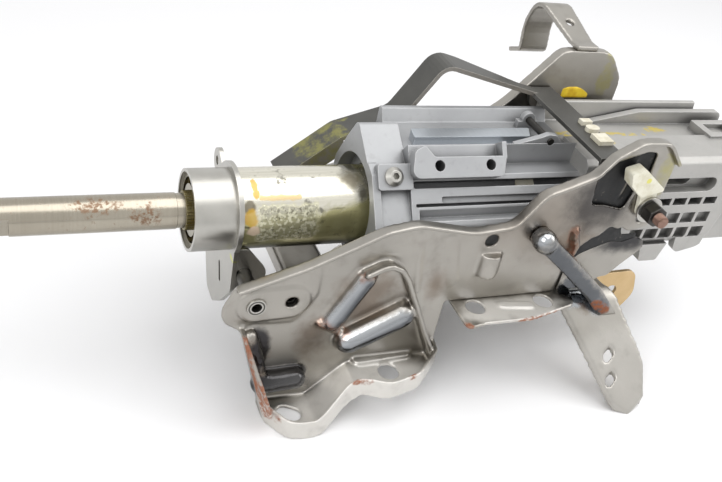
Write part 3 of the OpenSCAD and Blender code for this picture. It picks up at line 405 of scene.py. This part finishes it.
def jacket_film():
    """Bright drawn tube under a torn olive film of old grease, with a wrinkled scrap of clear film, painted
    glints on the scrap and painted shade on its underside and at the housing's mouth.
    """
    k = Look("jacket_film", edge_mm=0.4)
    draw = k.noise(1.2, 2, at=k.stretch(0.04, 1, 1))
    base = k.mix(draw, srgb(204, 200, 184), srgb(230, 227, 215))

    # The grease covers the lower half, which also paints the tube darker underneath as shade, and gets
    # thicker towards the housing
    low = k.step(k.measure("DOT_PRODUCT", k.place, Vector((0.12, 0.3, -1.0))), -0.014, 0.012)
    veil = k.math("ADD", k.times(low, 0.6), k.times(k.noise(24, 5, 0.6, twist=0.8), 0.7))
    film = k.step(veil, 0.48, 0.66)
    base = k.mix(film, base, k.mix(k.noise(9, 4), srgb(146, 141, 96), srgb(184, 180, 138)))
    streak = k.times(k.step(k.noise(5, 4, 0.6, at=k.stretch(0.12, 1, 1)), 0.56, 0.64), film)
    base = k.mix(k.times(streak, 0.7), base, srgb(66, 62, 40))
    grime = k.times(k.flecks(13, 0.58, 0.68, 6), 0.7)
    # Painted shade on the side of the tube that faces down, mixed in with the grime flecks
    under = k.step(k.facing((0, -0.35, -0.94)), 0.62, 0.92)
    # Painted shade where the tube enters the housing, and a brown grime blotch by the yellow paint
    shade = k.any(k.spot((154, -8, 23), (12, 12, 9), 0.4, 5, 0.8), k.spot((86, -19, 14), (6, 7, 4), 0.6))
    base = k.mix(k.times(shade, 0.8), base, srgb(94, 84, 58))
    base = k.mix(k.any(grime, k.times(under, 0.9)), base, srgb(50, 48, 34))

    # Clear scrap with a pale rim
    scrap_at = (111, -24, 3)
    scrap = k.patch(scrap_at, (20, 14, 12), 0.25, 5)
    rim = k.times(k.patch(scrap_at, (21, 14, 13), 0.25, 5), k.math("SUBTRACT", 1.0, scrap))
    # Crinkles of the scrap, which bump it and carry painted glints as pale flecks
    crinkles_and_glints = k.flecks(2.4, 0.5, 0.56)
    base = k.mix(k.times(scrap, 0.55), base, srgb(158, 155, 132))
    base = k.mix(k.times(scrap, crinkles_and_glints, 0.8), base, srgb(220, 217, 192))
    base = k.mix(k.times(scrap, k.flecks(1.9, 0.57, 0.62), 0.75), base, srgb(80, 76, 56))
    base = k.mix(k.times(rim, 0.6), base, srgb(222, 218, 180))

    # Smears of paint
    paint = k.any(
        k.line((91, -8, 24), (92, -16, 19), 2.4, 0.8, 3),
        k.spot((88, -23, 8), (5, 6, 7), 0.5),
        k.times(k.line((95, -17, 18), (118, -17, 18), 2.2, 0.8), 0.7))
    base = k.mix(k.times(paint, 0.85), base, k.mix(k.noise(6), srgb(206, 152, 56), srgb(186, 164, 52)))
    pale = k.spot((90, -25, 0), (5, 4, 4), 0.5)
    base = k.mix(k.times(pale, 0.8), base, srgb(216, 192, 172))
    k.bump(k.any(film, k.times(scrap, crinkles_and_glints)), 0.15)
    k.bump(draw, 0.015)
    dull = k.any(grime, k.times(k.any(paint, pale, shade), 0.9), k.times(scrap, 0.4))
    rough = k.blend(dull, k.blend(film, 0.2, 0.28), 0.38)
    metal = k.blend(dull, k.blend(film, 1.0, 0.65), 0.35)
    return k.done(base, rough, metal)


def gold_plate():
    """Yellow passivated plate with dull patches."""
    k = Look("gold_plate", edge_mm=0.5)
    base = k.mix(k.noise(14, 4), srgb(214, 188, 146), srgb(188, 160, 116))
    base = k.mix(k.times(k.edges(), 0.5), base, srgb(238, 222, 190))
    k.bump(k.noise(1.0, 3), 0.03)
    return k.done(base, 0.38)


def turned_steel():
    """Turned shaft with light rust freckles."""
    k = Look("turned_steel", edge_mm=0.4)
    rings = k.noise(1.0, 2, at=k.stretch(1, 0.02, 0.02))
    base = k.mix(k.noise(26, 4), srgb(138, 131, 118), srgb(170, 163, 149))
    base = k.mix(k.times(rings, 0.3), base, srgb(200, 194, 180))
    patches = k.any(
        k.spot((2, -6, 9), (16, 8, 6), 0.8),
        k.spot((-86, -6, 9), (14, 8, 6), 0.8),
        k.spot((30, -9, 4), (12, 6, 8), 0.9))
    freckles = k.times(k.flecks(3.2, 0.6, 0.7), 0.35)
    rusty = k.times(k.any(freckles, k.times(patches, k.flecks(2.4, 0.42, 0.6))), 0.85)
    base = k.mix(rusty, base, srgb(122, 92, 68))
    k.bump(rings, 0.015)
    return k.done(base, k.blend(rusty, 0.22, 0.5), k.blend(rusty, 1.0, 0.7))


def ground_steel(name, colour, shade):
    """Polished bearing steel with an oil shade, and painted shade in its corners."""
    k = Look(name, edge_mm=0.3)
    base = k.mix(k.noise(6, 3), colour, shade)
    # Painted shade in corners and recesses
    base = k.mix(k.times(k.corner_shade(4), 0.7), base, srgb(52, 46, 34))
    k.bump(k.noise(0.6, 2), 0.008)
    return k.done(base, k.blend(k.noise(4), 0.12, 0.24))


def oiled_ring():
    """Olive tolerance ring with bright edges and patches of dark oil."""
    k = Look("oiled_ring", edge_mm=0.2)
    base = k.mix(k.edges(0.005, 0.06), srgb(122, 112, 78), srgb(212, 204, 164))
    base = k.mix(k.flecks(5, 0.5, 0.7, 4), base, srgb(112, 98, 52))
    return k.done(base, k.blend(k.noise(3), 0.3, 0.5))


def phosphate():
    """Dark phosphated lever with bright cut edges on its far side and worn paint at its grip."""
    k = Look("phosphate", metallic=0.6, edge_mm=0.5)
    cloud = k.noise(16, 4)
    base = k.mix(cloud, srgb(70, 70, 68), srgb(98, 97, 93))
    across = (0, 1, 0)
    far_side = k.step(k.measure("DOT_PRODUCT", k.place, Vector(across)), 0.02, 0.03)
    cut = k.times(k.step(k.math("ABSOLUTE", k.facing(across)), 0.8, 0.95), far_side, 0.75)
    base = k.mix(cut, base, srgb(164, 158, 150))
    base = k.mix(k.times(k.edges(), 0.5), base, srgb(190, 186, 178))
    paint = k.times(k.spot((152, 46, 20), (26, 22, 20), 0.9, 9), k.flecks(10, 0.38, 0.62))
    base = k.mix(k.times(paint, 0.75), base, srgb(150, 147, 84))
    base = k.mix(k.spot((215, 44, 77), (4, 5, 4), 0.5, 3), base, srgb(196, 96, 80))
    k.bump(k.noise(0.8, 3), 0.04)
    return k.done(base, k.blend(cloud, 0.36, 0.52))


def black_oxide():
    """Blackened steel, rubbed grey on its edges."""
    k = Look("black_oxide", metallic=0.8, edge_mm=0.35)
    base = k.mix(k.noise(5, 4), srgb(44, 43, 42), srgb(78, 76, 73))
    base = k.mix(k.times(k.edges(), 0.65), base, srgb(150, 146, 139))
    k.bump(k.noise(0.6, 3), 0.03)
    return k.done(base, 0.34)


def copper_stud():
    """Coppery threaded stud."""
    k = Look("copper_stud", edge_mm=0.15)
    base = k.mix(k.noise(2.5, 4), srgb(112, 86, 76), srgb(160, 132, 118))
    base = k.mix(k.times(k.flecks(4, 0.55, 0.7, 4), 0.6), base, srgb(96, 76, 66))
    k.bump(k.noise(0.5, 2), 0.03)
    return k.done(base, 0.34)


def moulded(name, colour, shade, dab=None):
    """Moulded or sintered block, faintly stained, with a dab of yellow paint where one is given."""
    k = Look(name, metallic=0.0, edge_mm=0.6)
    base = k.mix(k.flecks(9, 0.4, 0.75, 4), colour, shade)
    if dab:
        base = k.mix(k.times(k.spot(*dab, 0.4), 0.8), base, srgb(222, 216, 70))
    k.bump(k.noise(0.8, 3), 0.04)
    return k.done(base, k.blend(k.noise(5), 0.42, 0.6))


def shade_sheet():
    """Black sheet that stands in for the shade behind the near wall's openings, with pale flecks and a
    painted highlight along its fold.
    """
    k = Look("shade_sheet", metallic=0.4, edge_mm=0.4)
    base = k.mix(k.noise(7, 4), srgb(20, 23, 26), srgb(46, 45, 44))
    base = k.mix(k.times(k.flecks(3, 0.62, 0.72), 0.5), base, srgb(120, 114, 104))
    # Painted highlight along the fold
    fold = k.line((325, -52, 30), (328, -52, 60), 1.6, 0.5)
    base = k.mix(k.times(fold, 0.7), base, srgb(128, 122, 114))
    k.bump(k.noise(2, 3), 0.1)
    return k.done(base, k.blend(k.noise(4), 0.35, 0.6))


def slideway():
    """Ground bluish slideway with fine cross lines."""
    k = Look("slideway", edge_mm=0.3)
    lines = k.noise(1.0, 2, at=k.stretch(1, 0.05, 1))
    base = k.mix(lines, srgb(186, 194, 202), srgb(214, 219, 224))
    k.bump(lines, 0.015)
    return k.done(base, 0.3)


def floor_white():
    """Pale floor that keeps the object's shadow."""
    k = Look("floor_white", metallic=0.0)
    k.put(k.bsdf.inputs["Specular IOR Level"], 0.0)
    return k.done(srgb(247, 247, 248), 0.9)


def dress(material, *names):
    """Gives CAD nodes a material."""
    for name in names:
        slots = nodes[name].data.materials
        slots.clear()
        slots.append(material)


STEEL = pressed_steel("pressed_steel", True)
DARK = black_oxide()
COPPER = copper_stud()
# Black sheet material that paints the shade behind the near wall's openings
SCALE = shade_sheet()
CREAM = moulded("cream_plastic", srgb(226, 221, 204), srgb(196, 188, 160))
YELLOW = moulded("yellow_plastic", srgb(238, 206, 52), srgb(212, 168, 30))
SLIDER_DAB = (333, -62, 51), (2.5, 3, 2.5)
dress(pressed_steel("cut_plate", False), "front_bridge", "wall_stiffener")
dress(cast_metal("cast_cool", srgb(148, 149, 151), srgb(178, 179, 180)), "slide_housing")
dress(cast_metal("cast_warm", srgb(160, 159, 156), srgb(190, 188, 184), marks=True), "upper_housing")
dress(zinc_plate(), "pivot_flange", "bearing_cup", "pivot_tube", "clamp_washers", "housing_screw")
dress(jacket_film(), "jacket_tube")
dress(gold_plate(), "stay_plate")
dress(turned_steel(), "lower_shaft", "upper_shaft")
dress(ground_steel("oiled_steel", srgb(104, 96, 74), srgb(142, 134, 108)),
      "lower_outer_race", "lower_balls", "lower_inner_race")
dress(ground_steel("ground_steel", srgb(190, 186, 178), srgb(214, 212, 206)),
      "upper_outer_race", "upper_balls", "upper_inner_race")
dress(oiled_ring(), "tolerance_ring")
dress(phosphate(), "release_lever")
dress(DARK, "stop_pin", "rivet_nut")
dress(COPPER, "clamp_bolt")
dress(CREAM, "lever_clip", "guide_bushes")
dress(moulded("pale_block", srgb(234, 231, 214), srgb(210, 204, 178), SLIDER_DAB), "tilt_slider")
dress(slideway(), "slide_strip")


# Making and handing over pieces
def new_piece(name, work):
    """An object made from a bmesh, which is freed."""
    bmesh.ops.recalc_face_normals(work, faces=work.faces)
    mesh = bpy.data.meshes.new(name)
    work.to_mesh(mesh)
    work.free()
    piece = bpy.data.objects.new(name, mesh)
    scene.collection.objects.link(piece)
    return piece


def show(piece, material, body, slot, *replaced):
    """Hands a finished piece to the frame, smooth but for the caps at its ends."""
    piece.data.materials.clear()
    piece.data.materials.append(material)
    for face in piece.data.polygons:
        face.use_smooth = len(face.vertices) <= 4
    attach(piece, body)
    if replaced:
        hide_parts(*replaced)


# Sheets of the console as skins with rolled edges
SHEET_MM = 2.4
BALL_STEP = 0.2


def add_bead(work, path_mm, r_mm, ripple, seed):
    """Adds a bead to a mesh: overlapping balls along a path, which differ by the ripple."""
    dice = random.Random(seed)
    for a, b in zip(path_mm, path_mm[1:]):
        a, b = mm(*a), mm(*b)
        count = max(2, math.ceil((b - a).length * MM_PER_M / ((BALL_STEP + ripple) * r_mm)))
        for i in range(count + 1):
            r = r_mm / MM_PER_M * dice.uniform(1 - ripple, 1 + ripple / 2)
            shift = Vector([dice.uniform(-ripple, ripple) * r for _ in range(3)])
            bmesh.ops.create_icosphere(work, subdivisions=2, radius=r,
                                       matrix=Matrix.Translation(a.lerp(b, i / count) + shift))


def add_plate(work, corners_mm, thick_mm):
    """Adds a plate to a mesh, thick_mm along its own normal."""
    face = work.faces.new([work.verts.new(mm(*c)) for c in corners_mm])
    face.normal_update()
    off = face.normal * (thick_mm / MM_PER_M)
    top = bmesh.ops.extrude_face_region(work, geom=[face])
    bmesh.ops.translate(work, vec=off, verts=[v for v in top["geom"] if isinstance(v, bmesh.types.BMVert)])


def rolled(name, names, slot, beads=(), plates=(), voxel_mm=1.0, passes=7, keep=0.4, push=None):
    """Sheet metal of the console as one skin, with rolled edges and with its welds run in."""
    work = bmesh.new()
    for n in names:
        work.from_mesh(nodes[n].data)
    for seed, (r, ripple, *path) in enumerate(beads):
        add_bead(work, path, r, ripple, seed)
    for corners in plates:
        add_plate(work, corners, SHEET_MM)
    piece = new_piece(name, work)
    skin = piece.modifiers.new("skin", "REMESH")
    skin.mode = "VOXEL"
    skin.voxel_size = voxel_mm / MM_PER_M
    soft = piece.modifiers.new("soft", "SMOOTH")
    soft.factor = 0.5
    soft.iterations = passes
    thin = piece.modifiers.new("thin", "DECIMATE")
    thin.ratio = keep
    done = bpy.data.meshes.new_from_object(piece.evaluated_get(bpy.context.evaluated_depsgraph_get()))
    piece.modifiers.clear()
    piece.data = done
    if push:
        for v in done.vertices:
            v.co += push(v.co)
    show(piece, STEEL, "console", slot, *names)


# Relief of the near wall, in millimetres; a swell has a height, a middle and a reach
WALL_SWELLS = (
    (2.2, (281, -54, 30), (16, 12, 14)),
    (1.6, (172, -54, 0), (26, 12, 9)))
TEAR_AT, TEAR_REACH = (322, -54, 8), (22, 8, 12)
RUFFLE_MM, RUFFLE_SIZE_MM, RUFFLE_SEED = 1.6, 7, 1
PAD_FROM, PAD_TO = mm(*PIVOT_MM), mm(110, 0, -32)
PAD_MM, PAD_R_MM, PAD_SLOPE_MM = 0.8, 12.5, 1.5
FOOT_FROM_Y_MM = -55
noise.seed_set(RUFFLE_SEED)


def hump(p, centre_mm, radii_mm):
    """1 at the middle of a soft hump and 0 far from it."""
    c = mm(*centre_mm)
    return math.exp(-sum(((p[i] - c[i]) * MM_PER_M / radii_mm[i]) ** 2 for i in range(3)))


def pad_height(p):
    """Height of the pressed pad round the pivot and the hole beside it. The foot further out has none."""
    if p.y * MM_PER_M <= FOOT_FROM_Y_MM:
        return 0.0
    flat, run = Vector((p.x, 0, p.z)), PAD_TO - PAD_FROM
    along = min(1.0, max(0.0, (flat - PAD_FROM).dot(run) / run.length_squared))
    gap_mm = (flat - PAD_FROM.lerp(PAD_TO, along)).length * MM_PER_M
    return PAD_MM * min(1.0, max(0.0, (PAD_R_MM - gap_mm) / PAD_SLOPE_MM))


def wall_relief(p):
    """Swells of the wall, the pad round its pivot, and the crumple of its torn edge."""
    swell = sum(height * hump(p, at, reach) for height, at, reach in WALL_SWELLS) + pad_height(p)
    torn = hump(p, TEAR_AT, TEAR_REACH)
    ruffle = noise.noise_vector(p / (RUFFLE_SIZE_MM / MM_PER_M)) * RUFFLE_MM * torn
    return mm(ruffle.x, -swell - abs(ruffle.y), ruffle.z)


# Beads have a radius, a ripple and a path, in millimetres
FOOT_BEADS = (
    # Swells pressed into the hollow of the foot, and the dark one in its corner
    (7.5, 0, (139, -53, -50), (155, -53, -18)),
    (9.5, 0, (152, -55, -66), (185, -55, -48)),
    (7.5, 0.02, (98, -58, -93), (120, -57, -93)),
    # Welds
    (4.0, 0.08, (87, -56, -54), (93, -57, -72), (98, -58, -90)),
    (2.6, 0.12, (131, -54, -51), (146, -54, -60)),
    (3.0, 0.15, (298, -53, 8), (303, -53, -4), (300, -53, -18)),
    # Rolled rim of the gusset
    (2.2, 0, (153, -60, -11.5), (162, -60, -6.5), (168, -60, -5.5), (175, -60, -9), (181, -60, -17),
     (193, -60, -41), (203, -60, -62), (210, -60, -75), (216, -60, -89)))
BRACE_BEADS = (
    # Ball at its upper end, weld along the wall, and the thick arm
    (8.5, 0, (272, -59, 6), (273, -59, 5)),
    (3.5, 0.15, (276, -54, 0), (300, -54, -20), (326, -54, -42)),
    (6.2, 0.05, (274, -58.5, 4), (300, -58.5, -17), (326, -58.5, -40), (340, -60, -54)))
HEEL_FLANGE = (
    (80, -60, -50), (80, -64.5, -50), (84.5, -72, -62), (89.5, -79, -76), (94, -83, -88),
    (97, -83, -98), (98.5, -78, -106), (99, -68, -110), (98, -60, -110))
rolled("near_pressing", ("near_wall", "near_foot"), "pressed_steel", FOOT_BEADS, (HEEL_FLANGE,), passes=9,
       push=wall_relief)
rolled("far_pressing", ("far_wall", "far_foot"), "pressed_steel")
rolled("base_pressing", ("base_plate",), "pressed_steel")
rolled("saddle_pressing", ("rear_saddle",), "pressed_steel")
rolled("hoop", ("hoop_strap",), "pressed_steel", voxel_mm=0.8)
rolled("brace", ("brace_rod",), "dark_steel", BRACE_BEADS, passes=14)

# Thin pieces behind the openings of the near wall, dark sheets that paint the shade seen through them, and
# on the far wall, in millimetres
PANEL_STEPS = 36
NEAR_BACK_Y, FAR_BACK_Y = -48.95, 50.6


def panel(name, span, foot, top, front, back):
    """A plate across Y over a span of X, from foot up to top(x). front(x, z) gives its near face."""
    work = bmesh.new()
    side = PANEL_STEPS + 1
    marks = []
    for i in range(side):
        x = span[0] + (span[1] - span[0]) * i / PANEL_STEPS
        marks += [(x, foot + (top(x) - foot) * j / PANEL_STEPS) for j in range(side)]
    spots = [work.verts.new(mm(x, front(x, z), z)) for x, z in marks]
    for i in range(PANEL_STEPS):
        for j in range(PANEL_STEPS):
            a = i * side + j
            work.faces.new((spots[a], spots[a + 1], spots[a + side + 1], spots[a + side]))
    # The border runs along the foot, up the far end, back along the top and down
    last = PANEL_STEPS
    loop = [i * side for i in range(side)] + [last * side + j for j in range(1, side)]
    loop += [i * side + last for i in range(last - 1, -1, -1)] + list(range(last - 1, 0, -1))
    behind = [work.verts.new(mm(marks[i][0], back, marks[i][1])) for i in loop]
    for n in range(len(loop)):
        m = (n + 1) % len(loop)
        work.faces.new((spots[loop[n]], spots[loop[m]], behind[m], behind[n]))
    work.faces.new(behind)
    return new_piece(name, work)


def pocket_face(x, z):
    """Dished face with a leaning fold, of the dark sheet of painted shade behind the window of the near
    wall.
    """
    flat_y, dish_mm, fold_mm = -50.2, 0.7, 2.2
    mid_x, mid_z, fold_x, fold_z, lean = 320, 44, 326, 45, 0.1
    fold = math.exp(-((x - fold_x - lean * (z - mid_z)) / 2.0) ** 2 - ((z - fold_z) / 14) ** 4)
    dish = math.exp(-((x - mid_x) / 18) ** 6 - ((z - mid_z) / 22) ** 6)
    return flat_y + dish_mm * dish - fold_mm * fold


def pocket_top(x):
    """Top edge of the pocket: steep, then flatter, then level, a little above the window."""
    return min(52 + (x - 302) * 1.1, 60.5 + (x - 310) * 0.37, 69)


def torn_face(x, z):
    """Crumpled face of the dark sheet of painted shade under the torn edge of the near wall."""
    flat_y, crumple_mm, grain_mm = -49.6, 0.5, 5.0
    return flat_y - crumple_mm * abs(noise.noise(Vector((x, 0, z)) / grain_mm))


def torn_top(x):
    """Top edge of the dark sheet of painted shade, which drops below the slot of the clamp bolt."""
    high, drop_x, slope = 17, 335, 3
    return min(high, max(0, high - (x - drop_x) * slope))


def clip_face(x, z):
    """Crowned, faintly waved face with rounded ends."""
    u, v = (x - 344) / 12, (z - 55.5) / 4.5
    return 50.2 - 1.2 * (1 - u ** 6) * (1 - v ** 6) * (0.8 + 0.2 * math.cos(7 * u))


def clip_top(x):
    """Uneven top edge of the clip."""
    return 60 - 4 * ((x - 341) / 12) ** 2


# Dark sheets that paint the shade seen through the window and the torn edge of the near wall
show(panel("window_shade_sheet", (299, 341.4), 20, pocket_top, pocket_face, NEAR_BACK_Y),
     SCALE, "console", "dark_steel")
show(panel("torn_shade_sheet", (297, 354), -17, torn_top, torn_face, NEAR_BACK_Y), SCALE, "console", "dark_steel")
show(panel("edge_clip", (332, 356), 51, clip_top, clip_face, FAR_BACK_Y), YELLOW, "console", "white_plastic")

# Clamp stud with its thread, and the chamfered nut on it, in metres
STUD_R, THREAD_DEEP, PITCH = 0.00435, 0.00045, 0.00125
STUD_CHAMFER, STUD_TAPER = 0.001, 0.8
STUD_PAST_BOLT = 0.0003
STUD_STEPS, STEPS_PER_PITCH, STUD_AROUND = 43, 8, 40
NUT_END, NUT_LEN, NUT_FLAT = -0.0669, 0.009, 0.0065
NUT_FACE, NUT_TAPER = 0.98, 1.8
NUT_STEPS, NUT_AROUND = 18, 72
SIXTH = math.pi / 3


def turned(name, rows, around, radius):
    """A bar along Y through the clamp's axis. radius(y, angle) gives the distance from that axis."""
    work = bmesh.new()
    rings = []
    for y in rows:
        ring = []
        for i in range(around):
            angle = 2 * math.pi * i / around
            r = radius(y, angle)
            ring.append(work.verts.new((r * math.cos(angle), y, r * math.sin(angle))))
        rings.append(ring)
    for low, high in zip(rings, rings[1:]):
        for i in range(around):
            j = (i + 1) % around
            work.faces.new((low[i], low[j], high[j], high[i]))
    work.faces.new(list(reversed(rings[0])))
    work.faces.new(rings[-1])
    piece = new_piece(name, work)
    piece.data.transform(Matrix.Translation(mm(*CLAMP_MM)))
    return piece


def thread_radius(y, angle):
    """Radius of the stud, which is threaded where it leaves the nut and chamfered at its tip."""
    wave = abs(((y / PITCH + angle / (2 * math.pi)) % 1) * 2 - 1)
    chamfer = max(0.0, STUD_CHAMFER - (y - stud_end)) * STUD_TAPER
    return STUD_R - THREAD_DEEP * wave - chamfer


def nut_radius(y, angle):
    """Radius of a six-sided nut whose corners are turned off at its ends."""
    side = NUT_FLAT / math.cos((angle + SIXTH / 2) % SIXTH - SIXTH / 2)
    depth = min(y - NUT_END, NUT_END + NUT_LEN - y)
    return min(side, NUT_FLAT * NUT_FACE + max(0.0, depth) * NUT_TAPER)


stud_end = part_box("clamp_bolt")[0].y - STUD_PAST_BOLT
stud_rows = [stud_end + i * PITCH / STEPS_PER_PITCH for i in range(STUD_STEPS + 1)]
nut_rows = [NUT_END + NUT_LEN * i / NUT_STEPS for i in range(NUT_STEPS + 1)]
stud = turned("stud_thread", stud_rows, STUD_AROUND, thread_radius)
nut = turned("nut", nut_rows, NUT_AROUND, nut_radius)
show(stud, COPPER, "lower_jacket", "copper_steel")
show(nut, DARK, "lower_jacket", "dark_steel", "clamp_nut")

# Floor, light and camera
FLOOR_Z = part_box("near_foot")[0].z
FLOOR_SIZE = 12.0
WORLD_LIGHT = 0.55
# The photograph's camera, found from its vanishing directions
CAMERA_AT = mm(-57.5, -438.7, 304.9)
CAMERA_FORWARD, CAMERA_RIGHT = Vector((0.387, 0.732, -0.560)), Vector((0.920, -0.342, 0.189))
SENSOR_MM, FOCAL_PX, PHOTO_WIDTH_PX = 36, 900, 722


def make_floor():
    """A square floor under the near foot."""
    mesh = bpy.data.meshes.new("floor")
    half = FLOOR_SIZE / 2
    corners = [(x * half, y * half, FLOOR_Z) for x, y in ((-1, -1), (1, -1), (1, 1), (-1, 1))]
    mesh.from_pydata(corners, [], [(0, 1, 2, 3)])
    floor = bpy.data.objects.new("floor", mesh)
    scene.collection.objects.link(floor)
    mesh.materials.append(floor_white())


def make_world():
    """Even light, with white for what the camera and reflections see."""
    world = bpy.data.worlds.new("studio")
    scene.world = world
    world.use_nodes = True
    tree = world.node_tree
    path = tree.nodes.new("ShaderNodeLightPath")
    seen = path.outputs["Is Camera Ray"]
    for name in ("Is Glossy Ray", "Is Transmission Ray"):
        most = tree.nodes.new("ShaderNodeMath")
        most.operation = "MAXIMUM"
        tree.links.new(seen, most.inputs[0])
        tree.links.new(path.outputs[name], most.inputs[1])
        seen = most.outputs[0]
    strength = tree.nodes.new("ShaderNodeMix")
    strength.inputs["A"].default_value = WORLD_LIGHT
    strength.inputs["B"].default_value = 1.0
    tree.links.new(seen, strength.inputs["Factor"])
    back = tree.nodes["Background"]
    back.inputs["Color"].default_value = (1, 1, 1, 1)
    tree.links.new(strength.outputs[0], back.inputs["Strength"])


def make_lamp(name, place, aim, size, watts):
    """A rectangular area lamp."""
    data = bpy.data.lights.new(name, "AREA")
    data.shape = "RECTANGLE"
    data.size, data.size_y = size
    data.energy = watts
    lamp = bpy.data.objects.new(name, data)
    scene.collection.objects.link(lamp)
    lamp.location = place
    lamp.rotation_euler = (Vector(aim) - Vector(place)).to_track_quat("-Z", "Y").to_euler()


def make_camera():
    """The photograph's camera."""
    data = bpy.data.cameras.new("camera")
    data.sensor_width = SENSOR_MM
    data.lens = SENSOR_MM * FOCAL_PX / PHOTO_WIDTH_PX
    data.clip_start = 0.01
    camera = bpy.data.objects.new("camera", data)
    scene.collection.objects.link(camera)
    forward = CAMERA_FORWARD.normalized()
    right = (CAMERA_RIGHT - forward * CAMERA_RIGHT.dot(forward)).normalized()
    up = right.cross(forward)
    turn = Matrix((right, up, -forward)).transposed().to_4x4()
    camera.matrix_world = Matrix.Translation(CAMERA_AT) @ turn
    scene.camera = camera


make_floor()
make_world()
make_lamp("key", place=(0.5, -0.1, 1.5), aim=(0.45, -0.05, 0), size=(1.6, 1.3), watts=14)
make_lamp("fill", place=(-1.0, -0.9, 1.1), aim=(0.2, 0, 0), size=(1.0, 1.0), watts=12)
make_lamp("side", place=(1.5, -0.5, 0.9), aim=(0.3, 0, 0), size=(0.8, 0.8), watts=6)
make_camera()
scene.view_settings.view_transform = "Standard"
